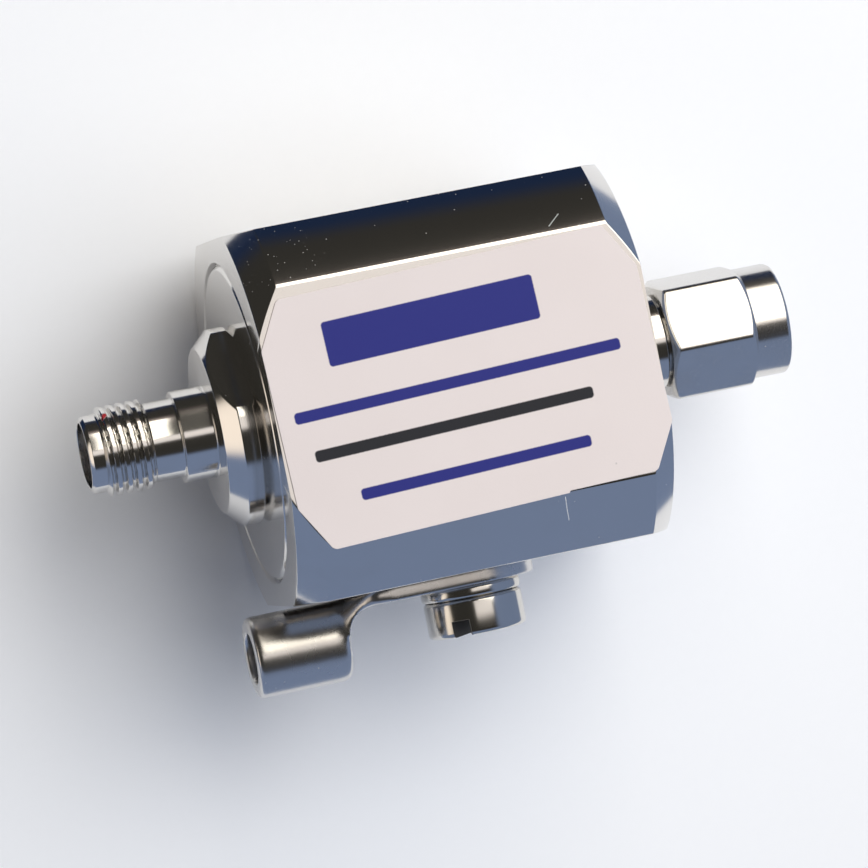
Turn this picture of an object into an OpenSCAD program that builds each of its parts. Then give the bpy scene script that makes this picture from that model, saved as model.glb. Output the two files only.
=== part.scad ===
// Coaxial surge arrestor with a screw-on jack, a coupling-nut plug and a ground lug.
// The coax line runs along X, the label faces +Z and the ground screw points to -Y.
// The origin is the centre of the back flat, so the part lies on that flat.

/* [Housing] */
// Distance across the flats of the square bar
body_flats = 26; // [24:0.5:32]
// Length of the housing along the coax line
body_len = 27; // [25:0.5:36]
// How far the turned corners stand out past the flats
corner_rise = 2.7; // [1.8:0.1:3.6]
// Radial depth of the turned bevel at each end
bevel_depth = 1.55; // [0.8:0.05:1.8]
// Length of the turned bevel at each end
bevel_len = 1.8; // [1:0.1:3]
// Wall between the inner chamber and the flats
wall = 5; // [4.6:0.1:6]
// Thickness of the end wall that carries the plug
plug_wall = 4.5; // [3:0.1:6]

/* [End cap] */
// Thickness of the pressed-in end cap
cap_t = 3.5; // [2.5:0.1:5]
// Width of the ledge that the end cap seats on
cap_ledge = 3.2; // [2:0.1:3.6]
// Edge break of the seam between the cap and the housing
seam_bevel = 0.25; // [0.1:0.05:0.5]

/* [Jack] */
// Diameter of the plain nose ahead of the thread
nose_d = 5.5; // [5.2:0.05:5.8]
// Length of the nose
nose_len = 1.05; // [0.6:0.05:2]
// Outer diameter of the jack thread
thread_d = 6.35; // [6.2:0.05:6.6]
// Length of the jack thread
thread_len = 3.5; // [3:0.1:8]
// Bevel at both ends of the jack thread
thread_bevel = 0.25; // [0.1:0.05:0.4]
// Diameter of the relief behind the thread
relief_d = 5.6; // [5.4:0.05:6]
// Length of the relief
relief_len = 2.05; // [1:0.05:4]
// Diameter of the shoulder behind the relief
shoulder_d = 6.5; // [6.2:0.1:9]
// Length of the shoulder
shoulder_len = 2.3; // [1:0.1:6]
// Diameter of the jack's round flange
jack_flange_d = 14; // [12.5:0.5:16]
// Thickness of the jack's flange
jack_flange_t = 2.6; // [2:0.1:4]
// Diameter of the flat front face of the flange, inside its bevel
jack_face_d = 11.7; // [10:0.1:12.6]
// Break of the flange's rear edge
jack_flange_edge = 0.35; // [0.1:0.05:0.6]
// Distance across the flange's two wrench flats
jack_flats = 12; // [10:0.5:14]
// Turn of one wrench flat from the label side, towards +Y
jack_turn = 41; // [0:1:90]
// Diameter of the spigot that holds the jack in the end cap
jack_spigot_d = 8; // [7:0.1:9]
// Diameter of the mating counterbore in the jack's mouth
socket_d = 4.6; // [4.5:0.02:4.8]
// Depth of the mating counterbore, down to the reference plane
socket_depth = 1.9; // [1.6:0.1:2.4]
// Diameter of the socket contact's hole
contact_bore = 0.94; // [0.9:0.01:1]
// Depth of the socket contact's hole
contact_bore_len = 2.8; // [2.4:0.1:4]
// Width of the cross slots in the socket contact
contact_slot = 0.2; // [0.1:0.05:0.3]
// Length of the cross slots in the socket contact
contact_slot_len = 2.2; // [1.5:0.1:2.4]

/* [Plug] */
// Diameter of the spigot that holds the plug in the end wall
plug_spigot_d = 8; // [7:0.1:9]
// Length of the plug's neck, from the housing to the nut
neck_len = 3.35; // [2:0.05:6]
// Diameter of the plug's neck
neck_d = 6.8; // [6.2:0.1:7.6]
// Diameter of the barrel that the coupling nut turns on
barrel_d = 5.5; // [5.3:0.02:5.54]
// Depth of the reference plane behind the nut's front face
reference_depth = 3.3; // [3:0.05:4]
// Length of the plug's nose ahead of the gasket
plug_nose_len = 2; // [1.8:0.05:2.4]
// Outer diameter of the plug's nose
plug_nose_d = 4.55; // [4.45:0.01:4.58]
// Diameter of the centre pin
pin_d = 0.92; // [0.88:0.01:0.93]
// Length of the centre pin ahead of the reference plane
pin_len = 2; // [1.8:0.05:2.6]
// Thickness of the gasket ring
gasket_t = 0.8; // [0.5:0.05:1.2]
// Outer diameter of the gasket ring
gasket_d = 5.4; // [5.1:0.05:5.5]

/* [Coupling nut] */
// Distance across the flats of the coupling nut
nut_flats = 8; // [7.8:0.1:9]
// Length of the coupling nut
nut_len = 8.8; // [8.4:0.1:11]
// Diameter of the nut's round front collar
collar_d = 8; // [7.6:0.05:8]
// Length of the nut's round front collar
collar_len = 2.55; // [1.5:0.05:3.5]
// Radius on the collar's front edge
collar_edge = 0.6; // [0.2:0.05:0.8]
// Minor diameter of the nut's thread
nut_thread_d = 5.7; // [5.65:0.02:5.9]
// Diameter of the lead-in at the nut's mouth
mouth_d = 6.6; // [6.4:0.05:7]
// Turn of the nut's front facet from the label side, towards +Y
nut_turn = 18; // [-30:1:30]
// Running clearance, radial, between the nut and the barrel
run_gap = 0.05; // [0.02:0.01:0.08]
// End clearance between the nut and the plug's neck
end_gap = 0.15; // [0.1:0.01:0.3]
// Thickness of the snap ring along the axis
ring_t = 0.6; // [0.4:0.05:0.8]
// Depth of the snap ring's groove in the barrel
ring_seat = 0.4; // [0.25:0.05:0.45]
// How far the snap ring reaches into the nut
ring_reach = 0.4; // [0.2:0.05:0.5]
// Length of barrel between the nut's rear face and the snap ring
ring_setback = 1.6; // [1:0.05:2]
// Opening of the snap ring
ring_split = 1.2; // [0.6:0.1:2]

/* [Coax line] */
// Diameter of the insulators
insulator_d = 4.1; // [3.9:0.02:4.14]
// Diameter of the contacts in the insulators
contact_d = 1.27; // [1.2:0.01:1.4]
// Diameter of the centre conductor
conductor_d = 6.4; // [5.4:0.1:7]
// Gap between the centre conductor and each end of the chamber
conductor_gap = 2; // [1:0.1:3]
// Depth of the sockets in the centre conductor's ends
conductor_socket = 2.5; // [1.5:0.1:3]
// Height of the conductor's flat above the coax axis
conductor_flat = 1.5; // [1.2:0.1:2]
// Clearance between the gas tube and the ends of the conductor's flat
flat_gap = 0.5; // [0.3:0.05:1]
// Radial clearance of the gas tube in its pocket on the flat
tube_gap = 0.1; // [0.05:0.01:0.2]

/* [Gas tube] */
// Diameter of the gas discharge tube
gas_tube_d = 5; // [4.4:0.1:5.2]
// Length of the gas discharge tube over its end caps
gas_tube_len = 5; // [4.4:0.1:5.2]
// Thickness of each end cap
gas_cap_t = 0.8; // [0.5:0.05:1.2]
// Wall of the ceramic tube
gas_tube_wall = 0.7; // [0.5:0.05:1]
// Diameter of the electrodes inside the tube
electrode_d = 2.5; // [2:0.1:2.8]
// Length of each electrode past its end cap
electrode_len = 1.1; // [0.8:0.05:1.3]
// Thickness of the leaf spring under the tube
spring_t = 0.15; // [0.1:0.01:0.2]
// Bow of the leaf spring
spring_bow = 0.2; // [0.1:0.01:0.24]
// Length and width of the earth saddle
saddle_size = 6; // [5.4:0.1:6.2]
// Thickness of the earth saddle at its middle
saddle_t = 1.35; // [1.1:0.05:1.6]

/* [Ground terminal] */
// Nominal diameter of the ground screw
screw_d = 4; // [3.5:0.1:4.2]
// Length of the ground screw under its head
screw_len = 6; // [5:0.1:6.2]
// Free depth of the tapped hole past the screw's end
hole_spare = 0.5; // [0.2:0.05:0.6]
// Diameter of the screw's head
head_d = 7; // [6.4:0.1:8]
// Height of the screw's head
head_h = 2.6; // [2:0.1:3.2]
// Radius on the head's outer edge
head_edge = 0.35; // [0.1:0.05:0.6]
// Width of the driver slot
slot_w = 1.2; // [0.8:0.05:1.4]
// Depth of the driver slot
slot_depth = 1.1; // [0.8:0.05:1.3]
// Turn of the driver slot from the label side, towards -X
slot_turn = 30; // [0:1:90]
// Radial clearance of the screw's thread in the tapped hole
screw_gap = 0.05; // [0.03:0.01:0.08]
// Outer diameter of the spring washer
washer_d = 7.1; // [6.8:0.1:8]
// Thickness of the spring washer
washer_t = 0.9; // [0.7:0.05:1.2]
// Width of the slanted split in the spring washer
washer_split = 0.5; // [0.3:0.05:0.8]
// Radial clearance of the spring washer and of the lug around the screw
screw_play = 0.15; // [0.1:0.01:0.3]
// Thickness of the lug's sheet
lug_t = 1.1; // [0.9:0.05:1.3]
// Diameter of the lug's ring and width of its tongue
lug_ring_d = 9.3; // [8.5:0.1:10]
// Outer diameter of the crimp barrel
crimp_d = 5.8; // [5.4:0.1:6.4]
// Inner diameter of the crimp barrel
crimp_bore = 3.6; // [3.2:0.1:3.9]
// Length of the crimp barrel
crimp_len = 6.8; // [5:0.1:8]
// Distance from the screw to the barrel's near end
crimp_start = 9.5; // [9:0.1:12]
// Distance from the screw to the start of the tongue's bend
tongue_len = 7.6; // [6:0.1:8.2]
// Radius on the barrel's outer edges
crimp_edge = 0.4; // [0.1:0.05:0.6]
// Gap between the housing's flat and the barrel
crimp_gap = 0.3; // [0.3:0.05:0.6]

/* [Label] */
// Thickness of the label
label_t = 0.12; // [0.05:0.01:0.2]
// Margin between the label and the outline of its flat
label_margin = 0.12; // [0.05:0.01:0.5]
// How far the label sits off centre, towards the ground screw
label_shift = 0.4; // [0:0.05:0.6]
// Turn of the label on its flat
label_turn = 1.9; // [-3:0.1:3]
// Radius on the label's corners
label_corner = 0.5; // [0.1:0.05:0.8]

/* [Fits] */
// Clearance of pressed and screwed-in pieces
fit_gap = 0.02; // [0.01:0.005:0.03]

/* [Hidden] */
$fn = 64;
// Overrun of a cut past the face that it opens
cut = 0.5;
// Thickness of the slabs that a hull joins
slab = 0.05;
// Angle of the turned bevels on the nut's hexagon
hex_bevel = 30;
half = body_flats / 2;
corner_r = half + corner_rise;
end_r = corner_r - bevel_depth;
chamber_r = half - wall;
saddle_seat = chamber_r - saddle_t;
spring_seat = saddle_seat - spring_bow - spring_t;
tube_seat = spring_seat - gas_tube_len;
cap_r = chamber_r + cap_ledge;
x_left = -body_len / 2;
x_right = body_len / 2;
x_chamber = x_left + cap_t;
chamber_len = body_len - cap_t - plug_wall;
jack_len = nose_len + thread_len + relief_len + shoulder_len + jack_flange_t;
x_jack = x_left - jack_len;
x_nut = x_right + neck_len;
plug_len = neck_len + nut_len;
plane_len = plug_len - reference_depth;
barrel_end = plane_len - plug_nose_len;
ring_x = neck_len + ring_setback;
barrel_r = barrel_d / 2;
tail = conductor_gap + conductor_socket;
conductor_len = chamber_len - 2 * conductor_gap;
flat_half = sqrt(corner_r * corner_r - half * half);
end_flat_half = sqrt(end_r * end_r - half * half);
screw_grip = lug_t + washer_t;
thread_in = screw_len - screw_grip;
crimp_r = crimp_d / 2;
crimp_axis = crimp_gap + crimp_r;
label_x = x_right - label_margin;
label_y = flat_half - label_margin;
label_bend_x = x_right - bevel_len - label_margin;
label_bend_y = end_flat_half - label_margin;

// Places what is drawn along +Z on the coax axis, starting at x
module on_axis(x) {
    translate([x, 0, half]) rotate([0, 90, 0]) children();
}

// Places what is drawn along +Z on the ground flat, pointing out of it
module on_ground() {
    translate([0, -half, half]) rotate([90, 0, 0]) children();
}

// Places what is drawn along +Z from the coax axis towards the ground flat
module to_ground() {
    translate([0, 0, half]) rotate([90, 0, 0]) children();
}

// A hexagonal prism with one facet turned from the label side
module hexagon(flats, h, turn) {
    rotate([0, 0, 30 - turn]) cylinder(d = flats / cos(30), h = h, $fn = 6);
}

// The turned envelope of a hexagon, bevelled from a round face at each end
module hex_envelope(flats, h, face_r) {
    tip_r = flats / 2 / cos(30) + cut;
    rise = (tip_r - face_r) * tan(hex_bevel);
    rotate_extrude() polygon([
        [0, 0], [face_r, 0], [tip_r, rise], [tip_r, h - rise], [face_r, h], [0, h]
    ]);
}

// Round flange with a bevelled front, a broken rear edge and two wrench flats
module wrench_flange() {
    r = jack_flange_d / 2;
    face_r = jack_face_d / 2;
    intersection() {
        rotate_extrude() polygon([
            [0, 0], [face_r, 0], [r, r - face_r], [r, jack_flange_t - jack_flange_edge],
            [r - jack_flange_edge, jack_flange_t], [0, jack_flange_t]
        ]);
        rotate([0, 0, -jack_turn]) translate([-jack_flats / 2, -r, 0])
            cube([jack_flats, jack_flange_d, jack_flange_t]);
    }
}

// A round tube
module tube(outer_r, inner_r, h) {
    difference() {
        cylinder(r = outer_r, h = h);
        translate([0, 0, -cut]) cylinder(r = inner_r, h = h + 2 * cut);
    }
}

// A disc with a rounded outer edge on its far face and, if asked, on its near face
module rounded_disc(r, h, edge, near_edge = 0) {
    rotate_extrude() {
        translate([0, near_edge]) square([r, h - edge - near_edge]);
        square([r - max(edge, near_edge), h]);
        translate([r - edge, h - edge]) circle(r = edge);
        if (near_edge > 0) translate([r - near_edge, near_edge]) circle(r = near_edge);
    }
}

// Square bar with turned corners, bored from the jack's end
module housing() {
    color("silver") difference() {
        intersection() {
            translate([x_left, -half, 0]) cube([body_len, body_flats, body_flats]);
            on_axis(x_left) rotate_extrude() polygon([
                [0, 0], [end_r, 0], [corner_r, bevel_len],
                [corner_r, body_len - bevel_len], [end_r, body_len], [0, body_len]
            ]);
        }
        on_axis(x_chamber - cut) cylinder(r = chamber_r, h = chamber_len + cut);
        on_axis(x_left - cut) cylinder(r = cap_r + fit_gap, h = cap_t + cut);
        on_axis(x_left) translate([0, 0, -cut]) cylinder(
            r1 = cap_r + fit_gap + seam_bevel + cut, r2 = cap_r + fit_gap, h = seam_bevel + cut
        );
        on_axis(x_right - plug_wall - cut) cylinder(r = plug_spigot_d / 2 + fit_gap, h = plug_wall + 2 * cut);
        on_ground() translate([0, 0, -thread_in - hole_spare])
            cylinder(r = screw_d / 2 + screw_gap, h = thread_in + hole_spare + cut);
    }
}

// Disc pressed into the jack's end of the housing
module end_cap() {
    color("silver") on_axis(x_left) difference() {
        rotate_extrude() polygon([
            [0, 0], [cap_r - seam_bevel, 0], [cap_r, seam_bevel], [cap_r, cap_t], [0, cap_t]
        ]);
        translate([0, 0, -cut]) cylinder(r = jack_spigot_d / 2 + fit_gap, h = cap_t + 2 * cut);
    }
}

// Turned jack with its nose, thread, relief, shoulder, wrench flange and spigot
module jack_shell() {
    thread_start = nose_len;
    thread_end = nose_len + thread_len;
    relief_end = thread_end + relief_len;
    flange_start = relief_end + shoulder_len;
    color("silver") on_axis(x_jack) difference() {
        union() {
            rotate_extrude() polygon([
                [0, 0], [nose_d / 2 - thread_bevel, 0], [nose_d / 2, thread_bevel],
                [nose_d / 2, thread_start], [thread_d / 2, thread_start + thread_bevel],
                [thread_d / 2, thread_end - thread_bevel], [relief_d / 2, thread_end],
                [relief_d / 2, relief_end], [shoulder_d / 2, relief_end],
                [shoulder_d / 2, flange_start + cut], [0, flange_start + cut]
            ]);
            translate([0, 0, flange_start]) {
                wrench_flange();
                cylinder(d = jack_spigot_d, h = jack_flange_t + cap_t);
            }
        }
        translate([0, 0, -cut]) cylinder(d = socket_d, h = socket_depth + cut);
        cylinder(r = insulator_d / 2 + fit_gap, h = jack_len + cap_t + cut);
    }
}

// Insulating sleeve in the jack
module jack_insulator() {
    color("ivory") on_axis(x_jack + socket_depth)
        tube(insulator_d / 2, contact_d / 2 + fit_gap, jack_len + cap_t - socket_depth);
}

// Slotted socket contact, with a tail that reaches into the centre conductor
module jack_contact() {
    contact_len = jack_len + cap_t - socket_depth + tail - fit_gap;
    color("gold") on_axis(x_jack + socket_depth) difference() {
        cylinder(d = contact_d, h = contact_len);
        translate([0, 0, -cut]) cylinder(d = contact_bore, h = contact_bore_len + cut);
        for (turn = [0, 90]) rotate([0, 0, turn])
            translate([-contact_d, -contact_slot / 2, -cut])
                cube([2 * contact_d, contact_slot, contact_slot_len + cut]);
    }
}

// Bar between the two contacts, with a flat, and a pad or pocket on it that the gas tube rests in
module centre_conductor() {
    flat_len = gas_tube_d + 2 * flat_gap;
    color("gold") difference() {
        union() {
            difference() {
                on_axis(x_chamber + conductor_gap) cylinder(d = conductor_d, h = conductor_len);
                to_ground() translate([-flat_len / 2, -conductor_d, conductor_flat])
                    cube([flat_len, 2 * conductor_d, conductor_d]);
            }
            to_ground() cylinder(d = gas_tube_d, h = tube_seat);
        }
        to_ground() translate([0, 0, tube_seat]) cylinder(r = gas_tube_d / 2 + tube_gap, h = chamber_r);
        for (x = [-cut, conductor_len - conductor_socket]) on_axis(x_chamber + conductor_gap + x)
            cylinder(r = contact_d / 2 + fit_gap, h = conductor_socket + cut);
    }
}

// Turned plug body with its spigot, neck, barrel, ring groove and nose
module plug_shell() {
    groove = ring_t + 2 * fit_gap;
    color("silver") on_axis(x_right) difference() {
        rotate_extrude() polygon([
            [0, -plug_wall], [plug_spigot_d / 2, -plug_wall], [plug_spigot_d / 2, 0],
            [neck_d / 2, 0], [neck_d / 2, neck_len - end_gap], [barrel_r, neck_len - end_gap],
            [barrel_r, ring_x - fit_gap], [barrel_r - ring_seat, ring_x - fit_gap],
            [barrel_r - ring_seat, ring_x - fit_gap + groove], [barrel_r, ring_x - fit_gap + groove],
            [barrel_r, barrel_end], [plug_nose_d / 2, barrel_end],
            [plug_nose_d / 2, plane_len], [0, plane_len]
        ]);
        translate([0, 0, -plug_wall - cut])
            cylinder(r = insulator_d / 2 + fit_gap, h = plug_wall + plane_len + 2 * cut);
    }
}

// Insulating sleeve in the plug
module plug_insulator() {
    color("ivory") on_axis(x_right - plug_wall)
        tube(insulator_d / 2, contact_d / 2 + fit_gap, plug_wall + plane_len);
}

// Stepped centre pin with a tapered tip and a tail in the centre conductor
module plug_pin() {
    taper = pin_d / 2;
    color("gold") on_axis(x_right) rotate_extrude() polygon([
        [0, -plug_wall - tail + fit_gap], [contact_d / 2, -plug_wall - tail + fit_gap],
        [contact_d / 2, plane_len], [pin_d / 2, plane_len],
        [pin_d / 2, plane_len + pin_len - taper], [taper / 2, plane_len + pin_len], [0, plane_len + pin_len]
    ]);
}

// Sealing ring on the plug's nose
module plug_gasket() {
    color("tomato") on_axis(x_right + barrel_end) tube(gasket_d / 2, plug_nose_d / 2 + fit_gap, gasket_t);
}

// Open ring that keeps the nut on the barrel
module snap_ring() {
    color("gainsboro") on_axis(x_right + ring_x) difference() {
        tube(barrel_r + ring_reach, barrel_r - ring_seat + fit_gap, ring_t);
        translate([0, -ring_split / 2, -cut]) cube([barrel_d, ring_split, ring_t + 2 * cut]);
    }
}

// Hexagonal nut with a round front collar, turning on the plug's barrel
module coupling_nut() {
    hex_len = nut_len - collar_len;
    groove_r = barrel_r + ring_reach + 2 * run_gap;
    color("silver") on_axis(x_nut) difference() {
        union() {
            intersection() {
                hexagon(nut_flats, hex_len, nut_turn);
                hex_envelope(nut_flats, hex_len, nut_flats / 2);
            }
            rounded_disc(collar_d / 2, nut_len, collar_edge);
        }
        translate([0, 0, -cut]) cylinder(r = barrel_r + run_gap, h = barrel_end - neck_len + end_gap + cut);
        translate([0, 0, ring_setback - 2 * run_gap]) cylinder(r = groove_r, h = ring_t + 4 * run_gap);
        translate([0, 0, ring_setback]) cylinder(d = nut_thread_d, h = nut_len);
        translate([0, 0, nut_len - (mouth_d - nut_thread_d) / 2])
            cylinder(d1 = nut_thread_d, d2 = mouth_d + 2 * cut, h = (mouth_d - nut_thread_d) / 2 + cut);
    }
}

// Ceramic wall of the gas discharge tube
module gas_tube_ceramic() {
    color("white") to_ground() translate([0, 0, tube_seat + gas_cap_t])
        tube(gas_tube_d / 2, gas_tube_d / 2 - gas_tube_wall, gas_tube_len - 2 * gas_cap_t);
}

// End cap of the gas tube, with the inner electrode that it carries
module gas_cap() {
    cylinder(d = gas_tube_d, h = gas_cap_t);
    cylinder(d = electrode_d, h = gas_cap_t + electrode_len);
}

// Cap that rests on the centre conductor
module gas_tube_line_cap() {
    color("darkgray") to_ground() translate([0, 0, tube_seat]) gas_cap();
}

// Cap that the leaf spring presses on
module gas_tube_earth_cap() {
    color("darkgray") to_ground() translate([0, 0, spring_seat]) mirror([0, 0, 1]) gas_cap();
}

// Bowed leaf between the gas tube and the earth saddle
module contact_spring() {
    span = gas_tube_d;
    bow_r = (span * span / 4 + spring_bow * spring_bow) / (2 * spring_bow);
    color("goldenrod") to_ground() translate([0, 0, spring_seat]) intersection() {
        translate([0, span / 2, bow_r + spring_t]) rotate([90, 0, 0]) tube(bow_r + spring_t, bow_r, span);
        translate([-span / 2, -span / 2, 0]) cube([span, span, spring_bow + spring_t]);
    }
}

// Block between the leaf spring and the chamber's wall
module earth_saddle() {
    color("goldenrod") intersection() {
        to_ground() translate([-saddle_size / 2, -saddle_size / 2, saddle_seat])
            cube([saddle_size, saddle_size, chamber_r]);
        on_axis(-saddle_size) cylinder(r = chamber_r, h = 2 * saddle_size);
    }
}

// Side outline of the bend between the tongue and the barrel, with its hollow underside
module bend_outline() {
    sweep = crimp_start - tongue_len;
    difference() {
        translate([-crimp_start - cut, 0]) square([sweep + cut, lug_t + sweep]);
        translate([-tongue_len, lug_t + sweep]) circle(r = sweep);
    }
}

// Ring tongue, bend and crimp barrel, folded from one sheet
module ground_lug() {
    color("lightgray") on_ground() difference() {
        union() {
            cylinder(d = lug_ring_d, h = lug_t);
            translate([-tongue_len, -lug_ring_d / 2, 0]) cube([tongue_len, lug_ring_d, lug_t]);
            intersection() {
                hull() {
                    translate([-tongue_len, -lug_ring_d / 2, 0]) cube([slab, lug_ring_d, lug_t]);
                    translate([-crimp_start - cut, 0, crimp_axis]) rotate([0, 90, 0])
                        cylinder(r = crimp_r, h = slab, $fn = 32);
                }
                translate([0, lug_ring_d, 0]) rotate([90, 0, 0])
                    linear_extrude(2 * lug_ring_d) bend_outline();
            }
            translate([-crimp_start - crimp_len, 0, crimp_axis]) rotate([0, 90, 0])
                rounded_disc(crimp_r, crimp_len, crimp_edge, crimp_edge);
        }
        translate([0, 0, -cut]) cylinder(r = screw_d / 2 + screw_play, h = lug_t + 2 * cut);
        translate([-crimp_start - crimp_len - cut, 0, crimp_axis]) rotate([0, 90, 0])
            cylinder(d = crimp_bore, h = crimp_len + crimp_start);
    }
}

// Split spring washer, pressed flat
module spring_washer() {
    color("gainsboro") on_ground() translate([0, 0, lug_t]) difference() {
        tube(washer_d / 2, screw_d / 2 + screw_play, washer_t);
        translate([0, 0, washer_t / 2]) rotate([45, 0, 0])
            translate([0, -washer_split / 2, -washer_d]) cube([washer_d, washer_split, 2 * washer_d]);
    }
}

// Slotted cheese-head screw
module ground_screw() {
    color("silver") on_ground() translate([0, 0, screw_grip]) difference() {
        union() {
            rounded_disc(head_d / 2, head_h, head_edge);
            translate([0, 0, -screw_len]) cylinder(d = screw_d, h = screw_len + cut);
        }
        rotate([0, 0, 90 + slot_turn]) translate([-head_d, -slot_w / 2, head_h - slot_depth])
            cube([2 * head_d, slot_w, slot_depth + cut]);
    }
}

// Thin sheet with cut corners, stuck a little askew on the front flat
module label() {
    color("white") translate([0, -label_shift, body_flats]) rotate([0, 0, label_turn]) linear_extrude(label_t)
        offset(r = label_corner, $fn = 24) offset(delta = -label_corner) polygon([
            [label_x, -label_bend_y], [label_x, label_bend_y],
            [label_bend_x, label_y], [-label_bend_x, label_y],
            [-label_x, label_bend_y], [-label_x, -label_bend_y],
            [-label_bend_x, -label_y], [label_bend_x, -label_y]
        ]);
}

housing();
end_cap();
jack_shell();
jack_insulator();
jack_contact();
centre_conductor();
plug_shell();
plug_insulator();
plug_pin();
plug_gasket();
snap_ring();
coupling_nut();
gas_tube_ceramic();
gas_tube_line_cap();
gas_tube_earth_cap();
contact_spring();
earth_saddle();
ground_lug();
spring_washer();
ground_screw();
label();
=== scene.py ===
"""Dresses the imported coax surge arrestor: turned and plated pieces, label film, studio and camera.

Every mesh is written in millimetres in the part's own frame and stored in metres. The coax line runs along
+X at the middle of a square housing, the label faces +Z and the ground screw points to -Y.
"""

import logging
import math
from dataclasses import dataclass
from enum import Enum
from typing import Mapping, Sequence

import bmesh
import bpy
import numpy as np
from mathutils import Matrix, Vector


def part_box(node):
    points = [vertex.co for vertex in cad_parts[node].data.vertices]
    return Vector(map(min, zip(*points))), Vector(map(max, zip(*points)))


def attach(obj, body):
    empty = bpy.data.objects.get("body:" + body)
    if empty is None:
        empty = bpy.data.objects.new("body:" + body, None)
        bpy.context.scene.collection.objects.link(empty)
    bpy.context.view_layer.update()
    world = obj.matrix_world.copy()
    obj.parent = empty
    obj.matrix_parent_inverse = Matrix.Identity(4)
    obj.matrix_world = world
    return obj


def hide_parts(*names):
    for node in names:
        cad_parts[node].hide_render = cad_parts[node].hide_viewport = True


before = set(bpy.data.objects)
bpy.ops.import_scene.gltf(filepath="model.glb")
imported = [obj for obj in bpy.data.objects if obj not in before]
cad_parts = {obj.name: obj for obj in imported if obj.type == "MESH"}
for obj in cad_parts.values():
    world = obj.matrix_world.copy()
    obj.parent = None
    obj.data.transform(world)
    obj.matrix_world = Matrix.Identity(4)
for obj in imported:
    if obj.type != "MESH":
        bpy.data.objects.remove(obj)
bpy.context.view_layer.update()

LOG = logging.getLogger("arrestor")
MM = 0.001

# Lengths in millimetres below which points count as one
TINY = 1e-6
MERGE = 0.0004
SLIVER = 0.0003
# Angles in degrees above which an edge shows as an edge
SHARP_TURNED = 42.0
SHARP_CUT = 38.0
SHARP_FILM = 30.0
# Largest part of a side that a rounded corner may take
ARC_SHARE = 0.45
# Smallest cosine that a distance is divided by
LEAST_COSINE = 0.05
# Steps across a broken edge
BEVEL_STEPS = 3
# Weight of the larger faces where a piece is shaded by them
FLAT_WEIGHT = 50

Colour = tuple[float, float, float]


class Body(Enum):
    """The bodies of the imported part."""

    ARRESTOR = "arrestor"
    NUT = "nut"
    LUG = "lug"
    WASHER = "washer"
    SCREW = "screw"


class Slot(Enum):
    """The record's material slots, by name."""

    NICKEL = "nickel_plate"
    TIN = "tin_plate"
    SCREW = "screw_plate"
    LABEL = "label_sheet"


class Detail(Enum):
    """How many octaves a noise has."""

    SINGLE = 1.0
    LOW = 2.0
    MIDDLE = 3.0
    HIGH = 4.0


class Ink(Enum):
    """The two inks on the label."""

    BLUE = (0.020, 0.024, 0.20)
    BLACK = (0.020, 0.020, 0.024)


# Shader nodes


class Value:
    """A node socket that takes part in arithmetic, each operation adding one Math node."""

    def __init__(self, tree: "Tree", socket: bpy.types.NodeSocket) -> None:
        """Keeps the tree that new nodes go into and the socket itself."""
        self.tree = tree
        self.socket = socket

    def _math(self, operation: str, *operands: "Value | float") -> "Value":
        """Adds a Math node on the operands and returns its result."""
        return self.tree.node("ShaderNodeMath", {"operation": operation}, dict(enumerate(operands)))

    def __add__(self, other: "Value | float") -> "Value":
        """Sum of two values."""
        return self._math("ADD", self, other)

    __radd__ = __add__

    def __sub__(self, other: "Value | float") -> "Value":
        """Difference of two values."""
        return self._math("SUBTRACT", self, other)

    def __rsub__(self, other: "Value | float") -> "Value":
        """Difference with the value on the right."""
        return self._math("SUBTRACT", other, self)

    def __mul__(self, other: "Value | float") -> "Value":
        """Product of two values."""
        return self._math("MULTIPLY", self, other)

    __rmul__ = __mul__

    def __truediv__(self, other: "Value | float") -> "Value":
        """Quotient of two values."""
        return self._math("DIVIDE", self, other)

    def __rtruediv__(self, other: "Value | float") -> "Value":
        """Quotient with the value below."""
        return self._math("DIVIDE", other, self)

    def __abs__(self) -> "Value":
        """Size of the value without its sign."""
        return self._math("ABSOLUTE", self)

    def larger(self, other: "Value | float") -> "Value":
        """The larger of two values."""
        return self._math("MAXIMUM", self, other)

    def smaller(self, other: "Value | float") -> "Value":
        """The smaller of two values."""
        return self._math("MINIMUM", self, other)

    def root(self) -> "Value":
        """Square root of the value."""
        return self._math("SQRT", self)

    def step(self, low: float, high: float) -> "Value":
        """Smooth step of the value from 0 to 1.

        Args:
            low: Input where the result is 0.
            high: Input where the result is 1, which may lie below low for a falling step.

        Returns:
            The stepped value, held at its ends.
        """
        ends = {1: low, 2: high, 3: 0.0, 4: 1.0}
        if low > high:
            ends = {1: high, 2: low, 3: 1.0, 4: 0.0}
        return self.tree.node("ShaderNodeMapRange", {"interpolation_type": "SMOOTHSTEP"}, {0: self, **ends})


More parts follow.
